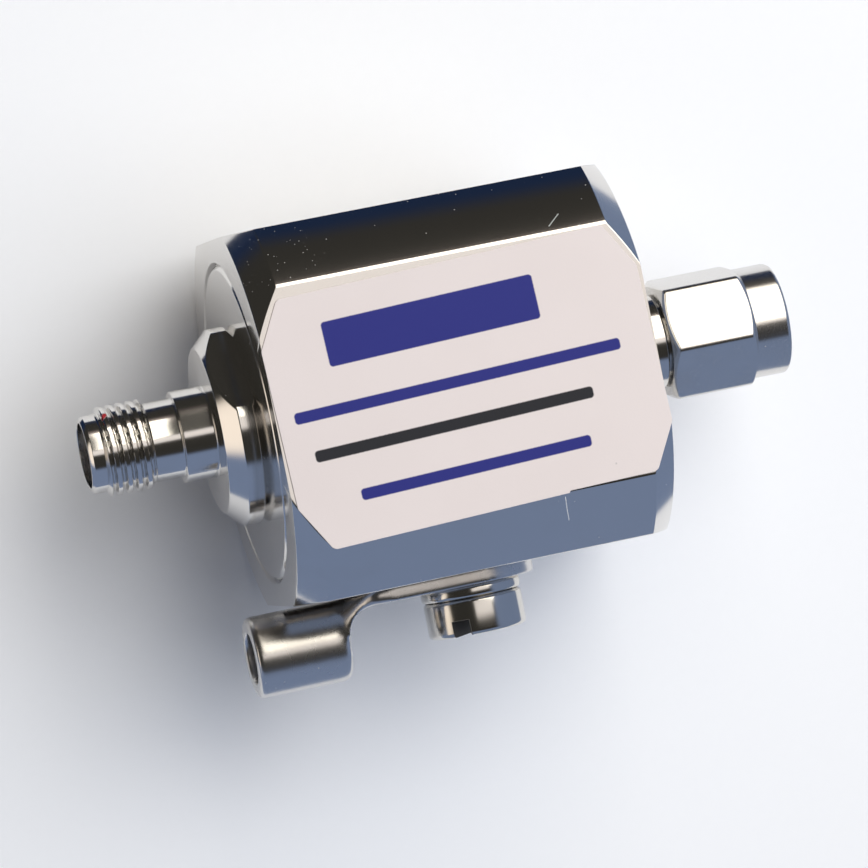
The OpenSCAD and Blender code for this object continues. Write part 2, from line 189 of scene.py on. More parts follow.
class Tree:
    """Builds the nodes of one material or world."""

    def __init__(self, nodes: bpy.types.NodeTree) -> None:
        """Empties the node tree and keeps it."""
        self.tree = nodes
        self.tree.nodes.clear()

    def node(
        self,
        kind: str,
        settings: Mapping[str, object] | None = None,
        inputs: Mapping[int | str, object] | None = None,
        out: int | str = 0,
    ) -> Value:
        """Adds any node.

        Args:
            kind: Blender's type name of the node.
            settings: Properties that are set before the sockets.
            inputs: Values or links of sockets, by place or name.
            out: Place or name of the output that is returned.

        Returns:
            The chosen output.
        """
        made = self.tree.nodes.new(kind)
        for key, setting in (settings or {}).items():
            setattr(made, key, setting)
        for key, given in (inputs or {}).items():
            if isinstance(given, Value):
                self.tree.links.new(given.socket, made.inputs[key])
            elif made.inputs[key].type == "RGBA" and len(given) == 3:
                made.inputs[key].default_value = (*given, 1.0)
            else:
                made.inputs[key].default_value = given
        return Value(self, made.outputs[out]) if made.outputs else Value(self, made.inputs[0])

    def millimetres(self) -> Value:
        """Place on the object in millimetres, as a vector."""
        place = self.node("ShaderNodeTexCoord", out="Object")
        return self.vector("SCALE", {0: place, "Scale": 1 / MM})

    def vector(self, operation: str, inputs: Mapping[int | str, object], out: int | str = 0) -> Value:
        """Adds a Vector Math node and returns its result."""
        return self.node("ShaderNodeVectorMath", {"operation": operation}, inputs, out)

    def split(self, vector: Value) -> tuple[Value, Value, Value]:
        """The three parts of a vector."""
        parts = self.node("ShaderNodeSeparateXYZ", None, {0: vector}).socket.node
        return tuple(Value(self, socket) for socket in parts.outputs)

    def join(self, x: Value | float, y: Value | float, z: Value | float) -> Value:
        """A vector from its three parts."""
        return self.node("ShaderNodeCombineXYZ", None, {0: x, 1: y, 2: z})

    def noise(
        self, place: Value, scale: float, detail: Detail = Detail.MIDDLE, roughness: float = 0.5
    ) -> Value:
        """Noise from 0 to 1.

        Args:
            place: Place in millimetres.
            scale: Waves to the millimetre.
            detail: Octaves of the noise.
            roughness: Share that each octave keeps of the one before it.

        Returns:
            The noise.
        """
        inputs = {"Vector": place, "Scale": scale, "Detail": detail.value, "Roughness": roughness}
        return self.node("ShaderNodeTexNoise", None, inputs)

    def cells(self, place: Value, scale: float) -> Value:
        """Distance to the nearest of scattered points, in cell sizes."""
        return self.node("ShaderNodeTexVoronoi", None, {"Vector": place, "Scale": scale})

    def mix(self, share: Value | float, first: Value | Colour, second: Value | Colour) -> Value:
        """Colour between two, by share of the second."""
        return self.node("ShaderNodeMix", {"data_type": "RGBA"}, {0: share, 6: first, 7: second}, 2)

    def bump(self, height: Value, strength: float, depth_mm: float) -> Value:
        """A normal that is tilted by a height map."""
        inputs = {"Height": height, "Strength": strength, "Distance": depth_mm * MM}
        return self.node("ShaderNodeBump", None, inputs)

    def surface(self, inputs: Mapping[int | str, object]) -> None:
        """Ends a material in a Principled shader with these sockets."""
        shader = self.node("ShaderNodeBsdfPrincipled", None, inputs)
        self.node("ShaderNodeOutputMaterial", None, {"Surface": shader})


def new_material(name: str) -> tuple[bpy.types.Material, Tree]:
    """A material with an empty tree.

    Args:
        name: Name of the material.

    Returns:
        The material and the builder of its nodes.
    """
    material = bpy.data.materials.new(name)
    material.use_nodes = True
    return material, Tree(material.node_tree)


# Finishes


@dataclass(frozen=True)
class SlotShade:
    """Painted shade in the screw's driver slot: a near-black colour laid over the slot's walls and floor.

    Attributes:
        middle: Point on the screw's axis, in millimetres.
        turn: Direction across the slot from +X towards +Z, in radians.
        half_width: Half the slot's width.
        floor_y: Place of the slot's floor.
        tint: Colour of the painted shade.
        fade: Width over which the painted shade ends.
    """

    middle: tuple[float, float]
    turn: float
    half_width: float
    floor_y: float
    tint: Colour = (0.020, 0.017, 0.014)
    fade: float = 0.04

    def mask(self, tree: Tree, place: Value) -> Value:
        """Share of the painted shade at a place.

        Args:
            tree: Builder of the material's nodes.
            place: Place on the object in millimetres.

        Returns:
            The share, from 0 to 1.
        """
        x, y, z = tree.split(place)
        across = (x - self.middle[0]) * math.cos(self.turn) + (z - self.middle[1]) * math.sin(self.turn)
        beside = abs(across).step(self.half_width + 2 * self.fade, self.half_width + self.fade)
        return beside * y.step(self.floor_y + 2 * self.fade, self.floor_y + self.fade)


@dataclass(frozen=True)
class Streak:
    """A scratch, hair or speck on the plating, along a short line in the part's frame.

    Attributes:
        start: Its start, in millimetres.
        end: Its end.
        half_width: Half its width.
        tint: Its colour.
    """

    start: tuple[float, float, float]
    end: tuple[float, float, float]
    half_width: float
    tint: Colour

    def mask(self, tree: Tree, place: Value) -> Value:
        """Share of the streak at a place.

        Args:
            tree: Builder of the material's nodes.
            place: Place on the object in millimetres.

        Returns:
            The share, from 0 to 1.
        """
        run = Vector(self.end) - Vector(self.start)
        share = tuple(run / run.length_squared)
        offset = tree.vector("SUBTRACT", {0: place, 1: self.start})
        along = tree.vector("DOT_PRODUCT", {0: offset, 1: share}, "Value")
        held = along.larger(0.0).smaller(1.0)
        nearest = tree.vector("SCALE", {0: tuple(run), "Scale": held})
        gap = tree.vector("DISTANCE", {0: offset, 1: nearest}, "Value")
        return gap.step(self.half_width, self.half_width / 2)


@dataclass(frozen=True)
class Hairlines:
    """Hairline scratches, as thin bands of a stretched noise.

    Attributes:
        strength: Strength of the scratches.
        run: Waves to the millimetre along x and y on the way along the scratches.
        across: Waves along y and x on the way across them.
        deep: Waves along z.
        scale: Factor on all those waves.
        half_width: Half the width of a band, in parts of the noise.
        shown: Values of the clouding between which scratches start to show.
        rough: Rise of the roughness in a scratch.
        depth: Depth of a scratch against the surface's waves.
    """

    strength: float = 0.25
    run: tuple[float, float] = (0.4, 0.9)
    across: tuple[float, float] = (2.4, -5.0)
    deep: float = 4.0
    scale: float = 1.4
    half_width: float = 0.006
    shown: tuple[float, float] = (0.52, 0.62)
    rough: float = 0.25
    depth: float = 0.02

    def mask(self, tree: Tree, place: Value, cloud: Value) -> Value:
        """Share of scratches at a place.

        Args:
            tree: Builder of the material's nodes.
            place: Place on the object in millimetres.
            cloud: The plate's clouding.

        Returns:
            The share, from 0 to the strength.
        """
        x, y, z = tree.split(place)
        along = x * self.run[0] + y * self.run[1]
        across = y * self.across[0] + x * self.across[1]
        noise = tree.noise(tree.join(along, across, z * self.deep), self.scale, Detail.SINGLE)
        return abs(noise - 0.5).step(self.half_width, 0.0) * cloud.step(*self.shown) * self.strength


@dataclass(frozen=True)
class Dust:
    """Scattered dust in loose patches.

    Attributes:
        scale: Specks to the millimetre.
        size: Size of a speck, in parts of their spacing.
        patch_scale: Waves of the patches to the millimetre.
        patch_at: Values of that noise between which a patch starts.
        tint: Colour of the dust.
        cover: Share of the plate's colour that a speck hides.
        rough: Rise of the roughness on a speck.
        dull: Loss of metal gloss on a speck.
    """

    scale: float = 1.3
    size: float = 0.075
    patch_scale: float = 0.65
    patch_at: tuple[float, float] = (0.5, 0.6)
    tint: Colour = (0.62, 0.60, 0.57)
    cover: float = 0.7
    rough: float = 0.45
    dull: float = 0.8

    def mask(self, tree: Tree, place: Value) -> Value:
        """Share of this dust, from 0 to 1, at a place in millimetres."""
        patches = tree.noise(place, self.patch_scale).step(*self.patch_at)
        return tree.cells(place, self.scale).step(self.size, self.size / 2) * patches


@dataclass(frozen=True)
class DustPatch:
    """Fine dust that lies thick round one place.

    Attributes:
        middle: Middle of the patch, in millimetres.
        reach: Distance at which it ends.
        core: Distance within which it is full.
        scale: Specks to the millimetre.
        size: Size of a speck, in parts of their spacing.
    """

    middle: tuple[float, float, float]
    reach: float = 4.5
    core: float = 1.5
    scale: float = 2.6
    size: float = 0.125

    def mask(self, tree: Tree, place: Value) -> Value:
        """Share of this dust, from 0 to 1, at a place in millimetres."""
        near = tree.vector("DISTANCE", {0: place, 1: self.middle}, "Value").step(self.reach, self.core)
        return tree.cells(place, self.scale).step(self.size, self.size / 2) * near


@dataclass(frozen=True)
class PlateFinish:
    """Bright plating: a mirror with faint clouding, polishing lines, hairline scratches and dust.

    Attributes:
        name: Name of the material.
        tint: Colour of clean plate.
        stain: Colour of clouded plate.
        roughness: Roughness of clean plate.
        cloud: Change of roughness with the clouding.
        cloud_scale: Waves of the clouding to the millimetre.
        cloud_rough: Share that each octave of the clouding keeps.
        cloud_middle: Value of the clouding that leaves the roughness as it is.
        stain_at: Values of the clouding between which the stain comes up.
        stain_cover: Largest share of the stain.
        ripple: Height of the surface's waves, in millimetres.
        ripple_scale: Those waves to the millimetre.
        line_waves: Polishing lines to the millimetre along the part, and their waves across it.
        line_share: Height of the polishing lines against the waves.
        grain_scale: Fine grain to the millimetre.
        grain_share: Height of the fine grain against the waves.
        hairlines: Scratches all over the plate.
        dust: Dust all over the plate.
        patch: Place where the dust lies thick.
        slot_shade: Painted shade in a driver slot.
        streaks: Single marks.
        mark_rough: Rise of the roughness on a mark or on the painted shade in a driver slot.
        smoothest: Least roughness.
    """

    name: str
    tint: Colour
    stain: Colour
    roughness: float
    cloud: float = 0.05
    cloud_scale: float = 0.23
    cloud_rough: float = 0.6
    cloud_middle: float = 0.4
    stain_at: tuple[float, float] = (0.45, 0.8)
    stain_cover: float = 0.5
    ripple: float = 0.006
    ripple_scale: float = 0.35
    line_waves: tuple[float, float] = (9.0, 0.5)
    line_share: float = 0.02
    grain_scale: float = 6.0
    grain_share: float = 0.01
    hairlines: Hairlines = Hairlines()
    dust: Dust = Dust()
    patch: DustPatch | None = None
    slot_shade: SlotShade | None = None
    streaks: tuple[Streak, ...] = ()
    mark_rough: float = 0.5
    smoothest: float = 0.02

    def build(self) -> bpy.types.Material:
        """Makes the material."""
        material, tree = new_material(self.name)
        place = tree.millimetres()
        cloud = tree.noise(place, self.cloud_scale, Detail.HIGH, self.cloud_rough)
        grain = tree.noise(place, self.grain_scale, Detail.LOW)
        waves = tree.noise(place, self.ripple_scale, Detail.LOW)
        x, y, z = tree.split(place)
        fine, broad = self.line_waves
        lines = tree.noise(tree.join(x * fine, y * broad, z * broad), 1.0, Detail.LOW)
        scratch = self.hairlines.mask(tree, place, cloud)
        speck = self.dust.mask(tree, place)
        if self.patch is not None:
            speck = speck.larger(self.patch.mask(tree, place))
        colour = tree.mix(cloud.step(*self.stain_at) * self.stain_cover, self.tint, self.stain)
        colour = tree.mix(speck * self.dust.cover, colour, self.dust.tint)
        rough = self.roughness + (cloud - self.cloud_middle) * self.cloud
        rough = rough + scratch * self.hairlines.rough + speck * self.dust.rough
        metal = 1.0 - speck * self.dust.dull
        # The painted shade in a driver slot goes on with the streaks, darkening the slot.
        marks = self.streaks if self.slot_shade is None else (self.slot_shade, *self.streaks)
        for mark in marks:
            share = mark.mask(tree, place)
            colour = tree.mix(share, colour, mark.tint)
            rough = rough + share * self.mark_rough
            metal = metal - share
        height = waves + grain * self.grain_share + lines * self.line_share
        tree.surface(
            {
                "Base Color": colour,
                "Metallic": metal.larger(0.0),
                "Roughness": rough.larger(self.smoothest),
                "Normal": tree.bump(height - scratch * self.hairlines.depth, 1.0, self.ripple),
            }
        )
        return material


@dataclass(frozen=True)
class PlainFinish:
    """Insulators, ceramic and rubber: a tint with mottling, fine grain and a set gloss.

    Attributes:
        name: Name of the material.
        tint: Main colour.
        shade: Colour of the mottling.
        roughness: Middle roughness.
        grain: Height of the grain, in millimetres.
        grain_scale: Grain to the millimetre.
        grain_strength: Strength of the grain's tilt.
        gloss_change: Change of the roughness with the grain.
        mottle_scale: Waves of the mottling to the millimetre.
        mottle_rough: Share that each octave of the mottling keeps.
        mottle_at: Values of that noise between which the shade comes up.
    """

    name: str
    tint: Colour
    shade: Colour
    roughness: float
    grain: float = 0.02
    grain_scale: float = 5.0
    grain_strength: float = 0.6
    gloss_change: float = 0.12
    mottle_scale: float = 0.8
    mottle_rough: float = 0.6
    mottle_at: tuple[float, float] = (0.35, 0.75)

    def build(self) -> bpy.types.Material:
        """Makes the material."""
        material, tree = new_material(self.name)
        place = tree.millimetres()
        mottle = tree.noise(place, self.mottle_scale, Detail.HIGH, self.mottle_rough)
        grain = tree.noise(place, self.grain_scale)
        tree.surface(
            {
                "Base Color": tree.mix(mottle.step(*self.mottle_at), self.tint, self.shade),
                "Roughness": self.roughness + (grain - 0.5) * self.gloss_change,
                "Normal": tree.bump(grain, self.grain_strength, self.grain),
            }
        )
        return material


@dataclass(frozen=True)
class Printed:
    """A printed field with rounded corners, in millimetres from the label's middle."""

    left: float
    right: float
    low: float
    high: float
    ink: Ink
    corner: float = 0.25

    def gap(self, x: Value, y: Value) -> Value:
        """Distance from the field's outline.

        Args:
            x: Place along the label, in millimetres.
            y: Place across it.

        Returns:
            The distance, below zero inside the field.
        """
        reach_x = (self.right - self.left) / 2 - self.corner
        reach_y = (self.high - self.low) / 2 - self.corner
        out_x = (abs(x - (self.left + self.right) / 2) - reach_x).larger(0.0)
        out_y = (abs(y - (self.low + self.high) / 2) - reach_y).larger(0.0)
        return (out_x * out_x + out_y * out_y).root() - self.corner


@dataclass(frozen=True)
class LabelPlace:
    """Where the label sits on the front flat.

    Attributes:
        base: Height of the flat.
        thickness: Thickness of the film.
        shift_y: Place of its middle across the flat.
        turn: Angle that it is stuck askew, in degrees.
    """

    base: float
    thickness: float = 0.12
    shift_y: float = -0.4
    turn: float = 1.9


@dataclass(frozen=True)
class LabelFinish:
    """Satin white film with a plain printed layout of one colour field and three rules.

    Attributes:
        name: Name of the material.
        place: Where the label sits.
        film: Colour of the film.
        worn: Colour of the film where it has greyed.
        cut: Colour of the painted shade on the film's edge.
        dirt: Colour of specks.
        worn_at: Values of the clouding between which the film greys.
        cloud_scale: Waves of the clouding to the millimetre.
        grain_scale: Grain to the millimetre.
        grain_share: Height of the grain against the clouding.
        relief: Height of the clouding, in millimetres.
        relief_strength: Strength of its tilt.
        roughness: Middle roughness.
        gloss_change: Change of the roughness with the grain.
        specular: Strength of the gloss.
        speck_scale: Specks to the millimetre.
        speck_size: Distances, in parts of their spacing, between which a speck starts.
        speck_at: Values of the clouding between which specks show.
        speck_cover: Share of the film that a speck hides.
        print_edge: Softness of the print's outline, in millimetres.
        print_ragged: Raggedness of that outline, in millimetres.
        rim: Depth below the film's top at which the painted shade on its edge starts, in millimetres.
        rim_cover: Share of the film's colour that the painted shade on its edge hides.
        layout: Printed fields.
    """

    name: str
    place: LabelPlace
    film: Colour = (0.815, 0.725, 0.685)
    worn: Colour = (0.795, 0.705, 0.665)
    cut: Colour = (0.30, 0.28, 0.26)
    dirt: Colour = (0.25, 0.23, 0.22)
    worn_at: tuple[float, float] = (0.3, 0.8)
    cloud_scale: float = 0.12
    grain_scale: float = 7.0
    grain_share: float = 0.15
    relief: float = 0.05
    relief_strength: float = 0.5
    roughness: float = 0.42
    gloss_change: float = 0.1
    specular: float = 0.25
    speck_scale: float = 0.33
    speck_size: tuple[float, float] = (0.035, 0.015)
    speck_at: tuple[float, float] = (0.4, 0.6)
    speck_cover: float = 0.6
    print_edge: float = 0.05
    print_ragged: float = 0.03
    rim: float = 0.02
    rim_cover: float = 0.5
    layout: tuple[Printed, ...] = (
        Printed(-9.0, 6.0, 3.4, 6.5, Ink.BLUE),
        Printed(-12.2, 11.0, 0.1, 0.9, Ink.BLUE),
        Printed(-11.4, 8.4, -2.7, -1.9, Ink.BLACK),
        Printed(-8.9, 7.5, -5.9, -5.1, Ink.BLUE),
    )

    def build(self) -> bpy.types.Material:
        """Makes the material."""
        material, tree = new_material(self.name)
        place = tree.millimetres()
        turned = tree.node(
            "ShaderNodeVectorRotate",
            {"rotation_type": "Z_AXIS"},
            {
                "Vector": place,
                "Center": (0.0, self.place.shift_y, 0.0),
                "Angle": -math.radians(self.place.turn),
            },
        )
        x, y, z = tree.split(turned)
        y = y - self.place.shift_y
        grain = tree.noise(place, self.grain_scale)
        cloud = tree.noise(place, self.cloud_scale)
        film = tree.mix(cloud.step(*self.worn_at), self.film, self.worn)
        for printed in self.layout:
            ragged = printed.gap(x, y) + (grain - 0.5) * self.print_ragged
            film = tree.mix(ragged.step(self.print_edge, -self.print_edge), film, printed.ink.value)
        speck = tree.cells(place, self.speck_scale).step(*self.speck_size) * cloud.step(*self.speck_at)
        film = tree.mix(speck * self.speck_cover, film, self.dirt)
        top = self.place.base + self.place.thickness
        # Painted shade on the film's edge, below its top.
        film = tree.mix(z.step(top - self.rim, top - 3 * self.rim) * self.rim_cover, film, self.cut)
        tree.surface(
            {
                "Base Color": film,
                "Roughness": self.roughness + (grain - 0.5) * self.gloss_change,
                "Normal": tree.bump(grain * self.grain_share + cloud, self.relief_strength, self.relief),
                "Specular IOR Level": self.specular,
            }
        )
        return material


class Finishes:
    """The finishes that several pieces share, each made once."""

    def __init__(self) -> None:
        """Makes the materials."""
        scratch = Streak((7.79, 9.25, 25.68), (8.70, 9.95, 25.14), 0.045, (0.45, 0.48, 0.46))
        hair_tint = (0.85, 0.83, 0.80)
        hair = Streak((5.20, -9.12, 25.78), (5.28, -9.90, 25.19), 0.04, hair_tint)
        hair_end = Streak((5.28, -9.90, 25.19), (5.43, -10.76, 24.43), 0.04, hair_tint)
        paint = Streak((-23.50, 2.30, 15.05), (-23.30, 2.50, 14.90), 0.24, (0.45, 0.02, 0.03))
        self.nickel = PlateFinish(
            "nickel_plate", (0.74, 0.72, 0.69), (0.69, 0.66, 0.61), 0.13,
            streaks=(scratch, hair, hair_end, paint), patch=DustPatch((-11.2, 11.0, 24.2)),
        ).build()
        self.satin = PlateFinish("satin_nickel", (0.73, 0.71, 0.68), (0.68, 0.64, 0.58), 0.23).build()
        self.tin = PlateFinish(
            "tin_plate", (0.73, 0.71, 0.68), (0.64, 0.58, 0.52), 0.27, ripple=0.016, ripple_scale=0.5
        ).build()
        self.spring = PlateFinish("spring_metal", (0.60, 0.59, 0.56), (0.48, 0.45, 0.40), 0.28).build()
        self.gold = PlateFinish("gold_plate", (0.86, 0.64, 0.28), (0.78, 0.55, 0.22), 0.16).build()
        self.brass = PlateFinish("bare_brass", (0.74, 0.57, 0.28), (0.60, 0.45, 0.22), 0.24).build()
        self.insulator = PlainFinish("insulator", (0.88, 0.87, 0.84), (0.84, 0.82, 0.78), 0.38).build()
        self.ceramic = PlainFinish(
            "ceramic", (0.88, 0.87, 0.85), (0.80, 0.79, 0.76), 0.55, grain=0.05
        ).build()
        self.gasket = PlainFinish(
            "gasket", (0.50, 0.06, 0.03), (0.40, 0.04, 0.025), 0.6, grain=0.04
        ).build()


# Meshes


@dataclass(frozen=True)
class Facets:
    """Flats milled on a turned piece.

    Attributes:
        count: Number of flats.
        reach: Distance from the axis to a flat.
        turn: Angle of one flat's outward direction about the piece's axis, in degrees.
        soft: Width over which the edges are broken.
    """

    count: int
    reach: float
    turn: float
    soft: float

    def limit(self, angles: np.ndarray) -> np.ndarray:
        """Distance from the axis to the flats.

        Args:
            angles: Directions about the axis, in radians.

        Returns:
            The distance in each direction, with softened corners.
        """
        step = 2 * math.pi / self.count
        away = (angles - math.radians(self.turn)) / step
        near = np.abs(away - np.round(away)) * step
        first = self.reach / np.maximum(np.cos(near), LEAST_COSINE)
        second = self.reach / np.maximum(np.cos(step - near), LEAST_COSINE)
        return soft_smaller(first, second, self.soft)


@dataclass(frozen=True)
class Thread:
    """A right-hand thread between two places along the axis, cut from a plain turned length.

    Attributes:
        start: Place where the thread starts.
        end: Place where the thread ends.
        floor: Radius of the groove's floor.
        pitch: Advance in one turn.
        crest_share: Part of the pitch's half that the crest takes.
        floor_share: Part of the pitch's half that the groove's floor takes.
        reach: Largest difference in radius between the groove's floor and the wall that it is cut into.
    """

    start: float
    end: float
    floor: float
    pitch: float
    crest_share: float = 0.14
    floor_share: float = 0.10
    reach: float = 0.7

    def covers(self, first: float, last: float) -> bool:
        """Whether a stretch along the axis lies in the thread."""
        return self.start - TINY <= min(first, last) and max(first, last) <= self.end + TINY

    def cut(self, along: float, radius: float, angles: np.ndarray) -> np.ndarray:
        """Radius after the groove is cut.

        Args:
            along: Place along the axis.
            radius: Radius of the plain length there.
            angles: Directions about the axis, in radians.

        Returns:
            The radius in each direction.
        """
        phase = (along - self.pitch * angles / (2 * math.pi)) / self.pitch
        ridge = np.abs(2 * (phase - np.floor(phase)) - 1)
        flank = 1 - self.crest_share - self.floor_share
        depth = np.clip((1 - self.crest_share - ridge) / flank, 0, 1)
        rounded = depth * depth * (3 - 2 * depth)
        return radius + (self.floor - radius) * rounded


def soft_smaller(first: np.ndarray | float, second: np.ndarray | float, width: float) -> np.ndarray:
    """The smaller of two values, rounded where they cross.

    Args:
        first: One value or an array of them.
        second: The other.
        width: Difference below which the crossing is rounded.

    Returns:
        The rounded smaller values.
    """
    share = np.clip(0.5 + 0.5 * (np.asarray(second) - first) / width, 0, 1)
    return second * (1 - share) + first * share - width * share * (1 - share)


def arc(before: Vector, corner: Vector, after: Vector, radius: float, steps: int) -> list[Vector]:
    """Points of the arc that rounds a corner of a profile.

    Args:
        before: Point ahead of the corner.
        corner: The corner.
        after: Point past the corner.
        radius: Radius of the arc.
        steps: Number of its chords.

    Returns:
        The points, from the first tangent point to the second.
    """
    arm_in, arm_out = (before - corner), (after - corner)
    half = arm_in.angle(arm_out) / 2
    back = min(radius / math.tan(half), ARC_SHARE * arm_in.length, ARC_SHARE * arm_out.length)
    start, end = corner + arm_in.normalized() * back, corner + arm_out.normalized() * back
    radius = back * math.tan(half)
    centre = corner + (arm_in.normalized() + arm_out.normalized()).normalized() * (radius / math.sin(half))
    sweep = math.pi - 2 * half
    turn = (start - centre).angle_signed(end - centre)
    return [
        centre + Matrix.Rotation(-math.copysign(sweep, turn) * i / steps, 2) @ (start - centre)
        for i in range(steps + 1)
    ]


@dataclass
class Turned:
    """A piece turned about an axis from a closed outline, with optional flats and a thread.

    Attributes:
        corners: Outline as (place along the axis, radius, rounding) in order.
        segments: Number of steps round the axis.
        facets: Flats that limit the outline.
        threads: Threads that are cut into it.
        angles: Directions to use in place of even steps, in radians.
        fine: Longest step along the outline where flats or threads need it.
        arc_steps: Number of chords in a rounded corner.
    """

    corners: Sequence[tuple[float, float, float]]
    segments: int = 128
    facets: Facets | None = None
    threads: tuple[Thread, ...] = ()
    angles: np.ndarray | None = None
    fine: float = 0.06
    arc_steps: int = 5

    def outline(self) -> list[tuple[float, float]]:
        """Points of the rounded outline, close together where flats or threads need it."""
        points = [Vector((along, radius)) for along, radius, _ in self.corners]
        bare: list[Vector] = []
        for i, (_, _, rounding) in enumerate(self.corners):
            before, corner, after = points[i - 1], points[i], points[(i + 1) % len(points)]
            bare += arc(before, corner, after, rounding, self.arc_steps) if rounding > 0 else [corner]
        full: list[tuple[float, float]] = []
        for i, point in enumerate(bare):
            nxt = bare[(i + 1) % len(bare)]
            steps = self._steps(point, nxt)
            full += [tuple(point.lerp(nxt, j / steps)) for j in range(steps)]
        return full

    def _steps(self, point: Vector, nxt: Vector) -> int:
        """Number of steps that a stretch of the outline needs.

        Args:
            point: Start of the stretch.
            nxt: End of the stretch.

        Returns:
            The number.
        """
        threaded = any(thread.covers(point.x, nxt.x) for thread in self.threads)
        leans = abs(point.x - nxt.x) > TINY and abs(point.y - nxt.y) > TINY
        milled = self.facets is not None and leans and max(point.y, nxt.y) > self.facets.reach
        outer = not threaded or min(point.y, nxt.y) > 0
        return max(1, round((nxt - point).length / self.fine)) if (threaded or milled) and outer else 1

    def rings(self) -> np.ndarray:
        """Points of every ring, as an array of rings, directions and coordinates."""
        angles = self.angles
        if angles is None:
            angles = np.linspace(0, 2 * math.pi, self.segments, endpoint=False)
        limit = None if self.facets is None else self.facets.limit(angles)
        rings = []
        for along, radius in self.outline():
            reach = np.full_like(angles, radius)
            for thread in self.threads:
                if thread.covers(along, along) and abs(radius - thread.floor) < thread.reach:
                    reach = thread.cut(along, radius, angles)
            if limit is not None:
                reach = soft_smaller(reach, limit, self.facets.soft)
            ring = [reach * np.cos(angles), reach * np.sin(angles), np.full_like(angles, along)]
            rings.append(np.stack(ring, 1))
        return np.array(rings)


def skin(name: str, rings: np.ndarray, place: Matrix, sharp: float = SHARP_TURNED) -> bpy.types.Object:
    """A closed mesh through rings of points that form a loop.

    Args:
        name: Name of the object.
        rings: Points as an array of rings, directions and coordinates, in millimetres.
        place: Matrix from the piece's own axes to the part's frame, in millimetres.
        sharp: Angle above which an edge shows as an edge, in degrees.

    Returns:
        The object.
    """
    count, around = rings.shape[:2]
    mesh = bpy.data.meshes.new(name)
    faces = []
    for i in range(count):
        this, following = i * around, (i + 1) % count * around
        for j in range(around):
            beside = (j + 1) % around
            faces.append((this + j, this + beside, following + beside, following + j))
    points = rings.reshape(-1, 3) @ np.array(place.to_3x3()).T + np.array(place.translation)
    mesh.from_pydata((points * MM).tolist(), [], faces)
    return finish_mesh(name, mesh, sharp)


def finish_mesh(name: str, mesh: bpy.types.Mesh, sharp: float) -> bpy.types.Object:
    """Cleans a mesh, shades it smooth between sharp edges and puts it in the scene.

    Args:
        name: Name of the object.
        mesh: The mesh.
        sharp: Angle above which an edge shows as an edge, in degrees.

    Returns:
        The object.
    """
    work = bmesh.new()
    work.from_mesh(mesh)
    bmesh.ops.remove_doubles(work, verts=work.verts, dist=MERGE * MM)
    bmesh.ops.dissolve_degenerate(work, edges=work.edges, dist=SLIVER * MM)
    bmesh.ops.recalc_face_normals(work, faces=work.faces)
    for face in work.faces:
        face.smooth = True
    work.to_mesh(mesh)
    work.free()
    mesh.set_sharp_from_angle(angle=math.radians(sharp))
    return placed(name, mesh)


def placed(name: str, data: bpy.types.ID) -> bpy.types.Object:
    """Puts a new object in the scene.

    Args:
        name: Name of the object.
        data: Its mesh, light or camera.

    Returns:
        The object.
    """
    piece = bpy.data.objects.new(name, data)
    bpy.context.scene.collection.objects.link(piece)
    return piece


def written(name: str, work: bmesh.types.BMesh) -> bpy.types.Mesh:
    """Turns what was built into a mesh.

    Args:
        name: Name of the mesh.
        work: What was built, which is freed.

    Returns:
        The mesh.
    """
    mesh = bpy.data.meshes.new(name)
    work.to_mesh(mesh)
    work.free()
    return mesh


def bake(piece: bpy.types.Object) -> None:
    """Applies the modifiers of an object.

    Args:
        piece: Object to change.
    """
    bpy.context.view_layer.update()
    shown = piece.evaluated_get(bpy.context.evaluated_depsgraph_get())
    piece.data = bpy.data.meshes.new_from_object(shown)
    piece.modifiers.clear()


def coat(piece: bpy.types.Object, material: bpy.types.Material) -> None:
    """Gives an object one finish in place of what it had."""
    piece.data.materials.clear()
    piece.data.materials.append(material)


def carve(piece: bpy.types.Object, cutter: bpy.types.Object, sharp: float) -> None:
    """Cuts one object out of another and removes the cutter.

    Args:
        piece: Object that is cut.
        cutter: Object that is taken away.
        sharp: Angle above which an edge shows as an edge, in degrees.
    """
    cut = piece.modifiers.new("cut", "BOOLEAN")
    cut.operation, cut.solver, cut.object = "DIFFERENCE", "EXACT", cutter
    bake(piece)
    piece.data.set_sharp_from_angle(angle=math.radians(sharp))
    bpy.data.objects.remove(cutter)


def block(size: Sequence[float], place: Matrix) -> bpy.types.Object:
    """A box that is used as a cutter.

    Args:
        size: Its three sizes, in millimetres.
        place: Matrix of its middle in the part's frame, in millimetres.

    Returns:
        The object.
    """
    work = bmesh.new()
    bmesh.ops.create_cube(work, size=1.0)
    bmesh.ops.scale(work, vec=Vector(size), verts=work.verts)
    bmesh.ops.transform(work, matrix=Matrix.Scale(MM, 4) @ place, verts=work.verts)
    return placed("cutter", written("cutter", work))


def bevelled(piece: bpy.types.Object, width: float, angle: float) -> None:
    """Breaks the sharp edges of an object.

    Args:
        piece: Object to change.
        width: Width of the break, in millimetres.
        angle: Smallest angle of an edge that is broken, in degrees.
    """
    bevel = piece.modifiers.new("bevel", "BEVEL")
    bevel.width, bevel.segments, bevel.limit_method = width * MM, BEVEL_STEPS, "ANGLE"
    bevel.angle_limit, bevel.harden_normals = math.radians(angle), True
    bake(piece)


def even_shading(piece: bpy.types.Object) -> None:
    """Shades an object by its larger faces, so that flats stay flat beside their rounded edges.

    Args:
        piece: Object to change.
    """
    weigh = piece.modifiers.new("weigh", "WEIGHTED_NORMAL")
    weigh.mode, weigh.weight, weigh.keep_sharp = "FACE_AREA", FLAT_WEIGHT, True
    bake(piece)


